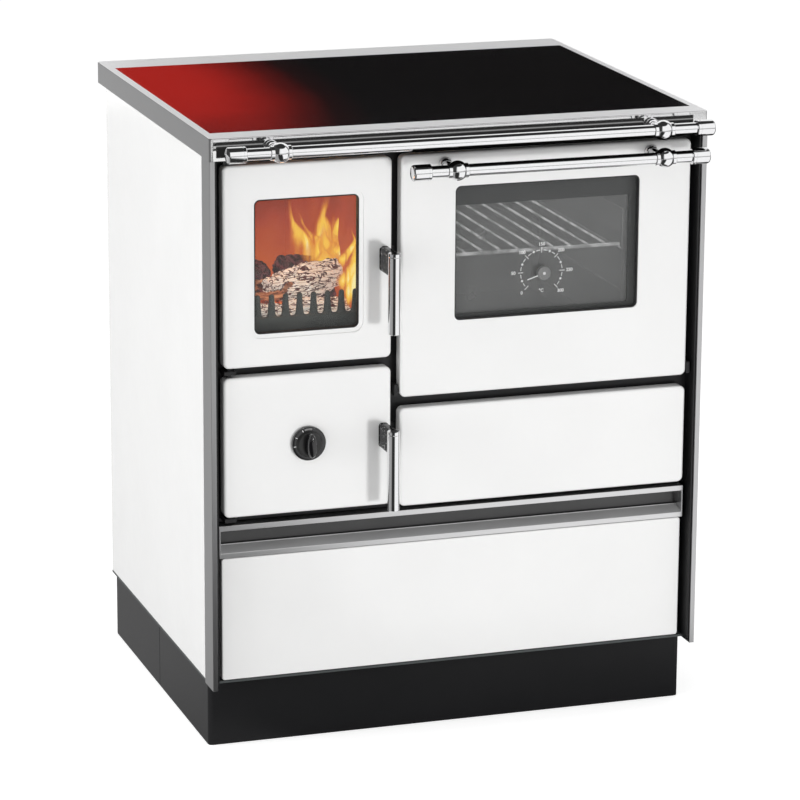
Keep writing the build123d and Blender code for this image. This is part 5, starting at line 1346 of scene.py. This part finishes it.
# ---------------------------------------------------------------- wood drawer
def make_drawer(skin):
    """The drawer's aluminium grip, its box and its runners."""
    node = "drawer_grip"
    low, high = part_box(node)

    def part_of_profile(face):
        """Bright strips and ends; a darker ramp low down and a dark recess and top, which are painted
        shade.
        """
        if face.normal.y < -0.9 and face.calc_center_median().y < low.y + 0.5 * MM:
            return 0
        if face.normal.z > 0.2 and face.calc_center_median().z < (low.z + high.z) / 2:
            return 1
        return 2 if abs(face.normal.x) < 0.5 else 0

    # the ramp, the recess and the top take darker copies of the aluminium: painted shade
    tones_of_grip = ("aluminium", "aluminium_ramp", "aluminium_deep")
    dressed(node, *tones_of_grip, bevel=0.35 * MM, choose=part_of_profile)
    lip, bead = bmesh.new(), skin.grip_bead
    start = Vector((low.x + 2 * bead, low.y + skin.grip_depth, low.z + skin.grip_rise))
    run = high.x - low.x - 4 * bead
    lathe(lip, [(0, 0), (0, bead), (run, bead), (run, 0)], start, RIGHT, 12)
    piece("drawer_grip_bead", lip, BODY_OF[node], SLOT_OF[node], "aluminium")
    dressed("drawer_box", "sheet", bevel=0.4 * MM)
    dressed("drawer_runners", "hinge_steel", bevel=0.6 * MM)


# ---------------------------------------------------------------- stage
def seen(nodes, links):
    """One for what the camera sees, straight on, mirrored or through glass, and nought for plain light."""
    path = nodes.new("ShaderNodeLightPath")
    level = path.outputs["Is Camera Ray"]
    for kind in ("Is Glossy Ray", "Is Transmission Ray"):
        either = nodes.new("ShaderNodeMath")
        either.operation = "MAXIMUM"
        links.new(level, either.inputs[0])
        links.new(path.outputs[kind], either.inputs[1])
        level = either.outputs[0]
    return level


def floor_finish(colour):
    """A pale floor that reads white where it is fully lit and keeps the stove's shadow."""
    material = bpy.data.materials.new("studio_floor")
    material.use_nodes = True
    nodes, links = material.node_tree.nodes, material.node_tree.links
    nodes.clear()
    paper = nodes.new("ShaderNodeBsdfDiffuse")
    paper.inputs["Color"].default_value = (*colour, 1.0)
    level = nodes.new("ShaderNodeMath")
    level.operation = "MULTIPLY"
    level.inputs[1].default_value = 0.62
    links.new(seen(nodes, links), level.inputs[0])
    lift = nodes.new("ShaderNodeEmission")
    links.new(level.outputs[0], lift.inputs["Strength"])
    both = nodes.new("ShaderNodeAddShader")
    links.new(paper.outputs[0], both.inputs[0])
    links.new(lift.outputs[0], both.inputs[1])
    output = nodes.new("ShaderNodeOutputMaterial")
    links.new(both.outputs[0], output.inputs["Surface"])
    return material


def make_sky(level):
    """White for the camera and for reflections, and an even plain light for everything else."""
    world = bpy.data.worlds.new("studio")
    bpy.context.scene.world = world
    world.use_nodes = True
    nodes, links = world.node_tree.nodes, world.node_tree.links
    nodes.clear()
    strength = nodes.new("ShaderNodeMapRange")
    strength.inputs["To Min"].default_value = level
    strength.inputs["To Max"].default_value = 1.0
    links.new(seen(nodes, links), strength.inputs["Value"])
    light = nodes.new("ShaderNodeBackground")
    links.new(strength.outputs["Result"], light.inputs["Strength"])
    output = nodes.new("ShaderNodeOutputWorld")
    links.new(light.outputs[0], output.inputs["Surface"])


def soft_lamp(name, place, aim, width, height, power):
    """A softbox that looks at a point."""
    lamp = bpy.data.lights.new(name, "AREA")
    lamp.shape = "RECTANGLE"
    lamp.size = width
    lamp.size_y = height
    lamp.energy = power
    holder = bpy.data.objects.new(name, lamp)
    holder.location = place
    holder.rotation_mode = "QUATERNION"
    holder.rotation_quaternion = (Vector(aim) - Vector(place)).to_track_quat("-Z", "Y")
    holder.visible_glossy = False
    bpy.context.scene.collection.objects.link(holder)


def fire_lamp(place, power):
    """The orange light that the flames give."""
    lamp = bpy.data.lights.new("fire_lamp", "POINT")
    lamp.energy = power
    lamp.color = (1.0, 0.50, 0.20)
    lamp.shadow_soft_size = 0.03
    holder = bpy.data.objects.new("fire_lamp", lamp)
    holder.location = place
    bpy.context.scene.collection.objects.link(holder)


def outward(azimuth, elevation):
    """A direction, by its turn to the right of the front and its rise above the horizon."""
    return Vector((
        math.sin(azimuth) * math.cos(elevation),
        -math.cos(azimuth) * math.cos(elevation),
        math.sin(elevation),
    ))


def round_about(azimuth, elevation, distance, centre):
    """A place round a centre, by degrees to the right of the front and above the horizon."""
    return Vector(centre) + outward(math.radians(azimuth), math.radians(elevation)) * distance


def mirror_tone(name, colour_of):
    """A material that only shines, in the tones that a function works out on it."""
    finish = Finish(name, (0, 0, 0), 1.0, Specular_IOR_Level=0.0)
    finish.glow(colour_of(finish))
    finish.material.cycles.emission_sampling = "NONE"
    return finish.material


def tones(finish, level, *stops):
    """A grey for each level, from (level, tone) stops."""
    return finish.ramp(level, *((position, (tone, tone, tone)) for position, tone in stops))


def round_the_stove(finish, *stops):
    """A grey for each direction, from (degrees to the right of the front, tone) stops."""
    forward = finish.combine("MULTIPLY", finish.axis(1), -1.0)
    heading = finish.combine("ARCTAN2", finish.axis(0), forward)
    level = finish.spread(heading, 0.0, 1.0, -math.pi, math.pi)
    return tones(finish, level, *((0.5 + degrees / 360, tone) for degrees, tone in stops))


def dome_tone(finish):
    """A tall bright window to the front right and another behind, dark between them and overhead."""
    height = finish.spread(finish.axis(2), 0.0, 1.0, 0.0, DOME_RADIUS)
    front = tones(finish, height, (0.05, 0.30), (0.24, 1.0), (0.80, 1.05), (0.85, 0.03))
    rear = tones(finish, height, (0.0, 1.0), (0.84, 1.0), (0.88, 0.03))
    to_front = ((-180, 0.0), (-34, 0.03), (-20, 1.0), (78, 1.0), (95, 0.0))
    to_rear = ((-180, 1.0), (-168, 1.0), (-150, 0.05), (95, 0.05), (120, 1.0), (180, 1.0))
    lit_front = finish.combine("MULTIPLY", front, round_the_stove(finish, *to_front))
    lit_rear = finish.combine("MULTIPLY", rear, round_the_stove(finish, *to_rear))
    both = finish.combine("MAXIMUM", lit_front, lit_rear)
    return tones(finish, finish.combine("MAXIMUM", both, 0.03), (0.0, 0.0), (1.0, 1.0))


def ground_tone(finish):
    """Bright to the front right but dark right under the rails, and grey to the left and behind."""
    near = finish.pattern("ShaderNodeTexGradient", None, [1 / GROUND_RADIUS] * 3, gradient_type="SPHERICAL")
    fall = tones(finish, near, (0.83, 1.0), (0.87, 0.03))
    to_right = ((-180, 0.0), (-2, 0.03), (6, 1.0), (68, 1.0), (76, 0.04), (180, 0.0))
    to_left = ((-180, 0.62), (-106, 0.50), (-60, 0.36), (-44, 0.34), (-38, 0.03), (150, 0.03), (180, 0.62))
    bright = finish.combine("MULTIPLY", fall, round_the_stove(finish, *to_right))
    both = finish.combine("MAXIMUM", bright, round_the_stove(finish, *to_left))
    return tones(finish, both, (0.0, 0.0), (1.0, 1.0))


def card_tone(finish):
    """Near black all over, for the hob's glass and the top of the oven handle to mirror."""
    return tones(finish, finish.cloud(1.0), (0.0, 0.002), (1.0, 0.004))


def stage_object(name, mesh, material):
    """Puts a mesh on the stage, apart from the stove."""
    data = bpy.data.meshes.new(name)
    mesh.to_mesh(data)
    mesh.free()
    data.materials.append(material)
    thing = bpy.data.objects.new(name, data)
    bpy.context.scene.collection.objects.link(thing)
    return thing


def only_reflected(name, mesh, tone):
    """A stage object that nothing but reflections sees."""
    shell = stage_object(name, mesh, mirror_tone(name + "_tone", tone))
    shell.visible_camera = False
    shell.visible_diffuse = False
    shell.visible_shadow = False
    shell.visible_transmission = False


def make_reflections():
    """The bright windows and dark walls of the studio, as chrome and glass see them."""
    dome = bmesh.new()
    bmesh.ops.create_uvsphere(dome, u_segments=48, v_segments=24, radius=DOME_RADIUS)
    only_reflected("studio_dome", dome, dome_tone)
    ground = bmesh.new()
    bmesh.ops.create_circle(ground, cap_ends=True, segments=64, radius=GROUND_RADIUS)
    bmesh.ops.translate(ground, vec=(0, 0, 1 * MM), verts=ground.verts)
    only_reflected("studio_ground", ground, ground_tone)
    # the card stands where the hob's glass, seen from the front, mirrors it
    wide, tall = 1.5, 0.6
    card = bmesh.new()
    bmesh.ops.create_grid(card, x_segments=1, y_segments=1, size=0.5)
    bmesh.ops.scale(card, vec=(wide, tall, 1.0), verts=card.verts)
    hob = Vector((0, 0, 0.85))
    place = round_about(161.5, 10.4, 4.5, hob)
    turn = (hob - place).to_track_quat("Z", "Y").to_matrix().to_4x4()
    card.transform(Matrix.Translation(place) @ turn)
    only_reflected("hob_card", card, card_tone)
    make_flags()


def flag_tone(finish):
    """Dark, with one pale streak along it, behind the hob rail."""
    low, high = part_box("hob_rail_tube")
    height = finish.spread(finish.axis(2), 0.0, 1.0, low.z, high.z)
    return tones(finish, height, (0.25, 0.02), (0.45, 0.03), (0.52, 0.42), (0.60, 0.03))


def make_flags():
    """Dark cards close to the chrome: one behind the hob rail, one over the oven handle."""
    rail_low, rail_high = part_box("hob_rail_tube")
    handle_low, handle_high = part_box("oven_handle_tube")
    hob_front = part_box("hob_frame")[0].y
    thin, drop = 0.4 * MM, 5 * MM
    behind = bmesh.new()
    size = (rail_high.x - rail_low.x, thin, rail_high.z - rail_low.z + drop)
    block(behind, (0, (hob_front + rail_high.y) / 2, (rail_low.z + rail_high.z) / 2 - drop), size)
    only_reflected("rail_flag", behind, flag_tone)
    over = bmesh.new()
    size = (handle_high.x - handle_low.x, 3 * (handle_high.y - handle_low.y), thin)
    between = (handle_high.z + rail_low.z) / 2
    block(over, ((handle_high.x + handle_low.x) / 2, handle_low.y + size[1] / 2, between), size)
    only_reflected("handle_flag", over, card_tone)


def make_camera(stage):
    """The camera, which looks at a point in the stove's middle plane."""
    aim = Vector((stage.aim_right, 0, stage.aim_height))
    out = outward(stage.azimuth, stage.elevation)
    data = bpy.data.cameras.new("camera")
    data.lens = stage.lens
    data.sensor_width = 36.0
    data.clip_end = 50.0
    camera = bpy.data.objects.new("camera", data)
    camera.location = aim + out * stage.distance
    look = (-out).to_track_quat("-Z", "Y").to_matrix().to_4x4()
    camera.rotation_euler = (look @ Matrix.Rotation(stage.roll, 4, "Z")).to_euler()
    bpy.context.scene.collection.objects.link(camera)
    bpy.context.scene.camera = camera


def make_stage(stage):
    """Camera, sky, floor, lamps and what the shiny pieces mirror."""
    make_camera(stage)
    make_sky(stage.sky)
    floor = bmesh.new()
    bmesh.ops.create_grid(floor, x_segments=1, y_segments=1, size=14.0)
    stage_object("floor", floor, floor_finish(stage.floor))
    chest = (0, 0, 0.45)
    soft_lamp("key", round_about(14, -5, 3.0, chest), chest, 0.32, 0.32, stage.key_power)
    soft_lamp("overhead", (0.0, -0.2, 3.2), (0, 0, 0.8), 2.6, 2.0, stage.overhead_power)
    soft_lamp("left_fill", round_about(-82, 8, 3.2, chest), chest, 1.8, 1.8, stage.fill_power)
    oven_ceiling, oven_middle = (0.11, -0.05, 0.775), (0.11, -0.05, 0.5)
    soft_lamp("oven_lamp", oven_ceiling, oven_middle, 0.20, 0.25, stage.oven_power)
    over_the_logs = (-0.225, -0.235, 0.735)
    fire_lamp(over_the_logs, stage.fire_power)
    make_reflections()


# ---------------------------------------------------------------- operators
class StoveOperator:
    """What every step of the build shares."""

    bl_options = {"REGISTER", "UNDO"}


class STOVE_OT_finishes(StoveOperator, bpy.types.Operator):
    """Make the stove's finishes"""

    bl_idname = "stove.finishes"
    bl_label = "Finishes"

    def execute(self, context):
        make_finishes()
        return {"FINISHED"}


class STOVE_OT_casing(StoveOperator, bpy.types.Operator):
    """Finish the plinth, side panels, trims, front frame, back and flue collar"""

    bl_idname = "stove.casing"
    bl_label = "Casing"

    def execute(self, context):
        make_casing(context.scene.stove_finishes)
        make_screws()
        return {"FINISHED"}


class STOVE_OT_hob(StoveOperator, bpy.types.Operator):
    """Finish the hob frame and its glowing glass"""

    bl_idname = "stove.hob"
    bl_label = "Hob"

    def execute(self, context):
        make_hob(context.scene.stove_finishes)
        return {"FINISHED"}


class STOVE_OT_rails(StoveOperator, bpy.types.Operator):
    """Turn the hob rail, the oven handle and their ball posts"""

    bl_idname = "stove.rails"
    bl_label = "Rail and Handle"

    def execute(self, context):
        sizes = context.scene.stove_rails
        make_bar("hob_rail", "hob_rail_tube", "hob_rail_fittings", sizes.rail_post_inset, sizes)
        make_bar("oven_handle", "oven_handle_tube", "oven_handle_fittings", sizes.handle_post_inset, sizes)
        return {"FINISHED"}


class STOVE_OT_levers(StoveOperator, bpy.types.Operator):
    """Turn the chrome grips of both door levers and finish their bosses"""

    bl_idname = "stove.levers"
    bl_label = "Door Levers"

    def execute(self, context):
        make_levers(context.scene.stove_rails)
        return {"FINISHED"}


class STOVE_OT_doors(StoveOperator, bpy.types.Operator):
    """Finish the enamelled doors, their glass, inner frames and seals"""

    bl_idname = "stove.doors"
    bl_label = "Doors"

    def execute(self, context):
        make_doors(context.scene.stove_finishes)
        make_window_shade_lines(context.scene.stove_finishes)
        return {"FINISHED"}


class STOVE_OT_knob(StoveOperator, bpy.types.Operator):
    """Turn the air knob and print its marks"""

    bl_idname = "stove.knob"
    bl_label = "Air Knob"

    def execute(self, context):
        make_knob(context.scene.stove_controls)
        return {"FINISHED"}


class STOVE_OT_thermometer(StoveOperator, bpy.types.Operator):
    """Print the oven thermometer's scale and make its hand"""

    bl_idname = "stove.thermometer"
    bl_label = "Thermometer"

    def execute(self, context):
        make_scale(context.scene.stove_controls)
        make_hand()
        return {"FINISHED"}


class STOVE_OT_firebox(StoveOperator, bpy.types.Operator):
    """Finish the firebricks, log guard, grate and ash pan"""

    bl_idname = "stove.firebox"
    bl_label = "Firebox"

    def execute(self, context):
        make_firebox()
        return {"FINISHED"}


class STOVE_OT_fire(StoveOperator, bpy.types.Operator):
    """Lay the burning logs, coals and flames"""

    bl_idname = "stove.fire"
    bl_label = "Fire"

    def execute(self, context):
        make_fire(context.scene.stove_fire)
        return {"FINISHED"}


class STOVE_OT_oven(StoveOperator, bpy.types.Operator):
    """Finish the oven's inside and its wire rack"""

    bl_idname = "stove.oven"
    bl_label = "Oven"

    def execute(self, context):
        make_oven()
        return {"FINISHED"}


class STOVE_OT_drawer(StoveOperator, bpy.types.Operator):
    """Finish the wood drawer's grip, box and runners"""

    bl_idname = "stove.drawer"
    bl_label = "Wood Drawer"

    def execute(self, context):
        make_drawer(context.scene.stove_finishes)
        return {"FINISHED"}


class STOVE_OT_stage(StoveOperator, bpy.types.Operator):
    """Set the camera, the lamps and the floor"""

    bl_idname = "stove.stage"
    bl_label = "Stage"

    def execute(self, context):
        make_stage(context.scene.stove_stage)
        context.scene.view_settings.view_transform = "Standard"
        return {"FINISHED"}


OPERATORS = (
    STOVE_OT_finishes,
    STOVE_OT_casing,
    STOVE_OT_hob,
    STOVE_OT_rails,
    STOVE_OT_levers,
    STOVE_OT_doors,
    STOVE_OT_knob,
    STOVE_OT_thermometer,
    STOVE_OT_firebox,
    STOVE_OT_fire,
    STOVE_OT_oven,
    STOVE_OT_drawer,
    STOVE_OT_stage,
)


class STOVE_PT_sidebar(bpy.types.Panel):
    """Lists the settings and the steps of the build"""

    bl_label = "Wood Cookstove"
    bl_idname = "STOVE_PT_sidebar"
    bl_space_type = "VIEW_3D"
    bl_region_type = "UI"
    bl_category = "Cookstove"

    def draw(self, context):
        layout = self.layout
        for group_name, group in GROUPS.items():
            box = layout.box()
            settings = getattr(context.scene, group_name)
            for setting in group.__annotations__:
                box.prop(settings, setting)
        for operator in OPERATORS:
            layout.operator(operator.bl_idname)


CLASSES = (*GROUPS.values(), *OPERATORS, STOVE_PT_sidebar)


def register():
    """Makes the settings, the steps and the panel known to Blender."""
    for made in CLASSES:
        bpy.utils.register_class(made)
    for name, group in GROUPS.items():
        setattr(bpy.types.Scene, name, PointerProperty(type=group))


def unregister():
    """Takes them away again."""
    for name in GROUPS:
        delattr(bpy.types.Scene, name)
    for made in reversed(CLASSES):
        bpy.utils.unregister_class(made)


def main():
    """Builds everything in order."""
    register()
    for operator in OPERATORS:
        family, step = operator.bl_idname.split(".")
        getattr(getattr(bpy.ops, family), step)()


if __name__ == "__main__":
    main()
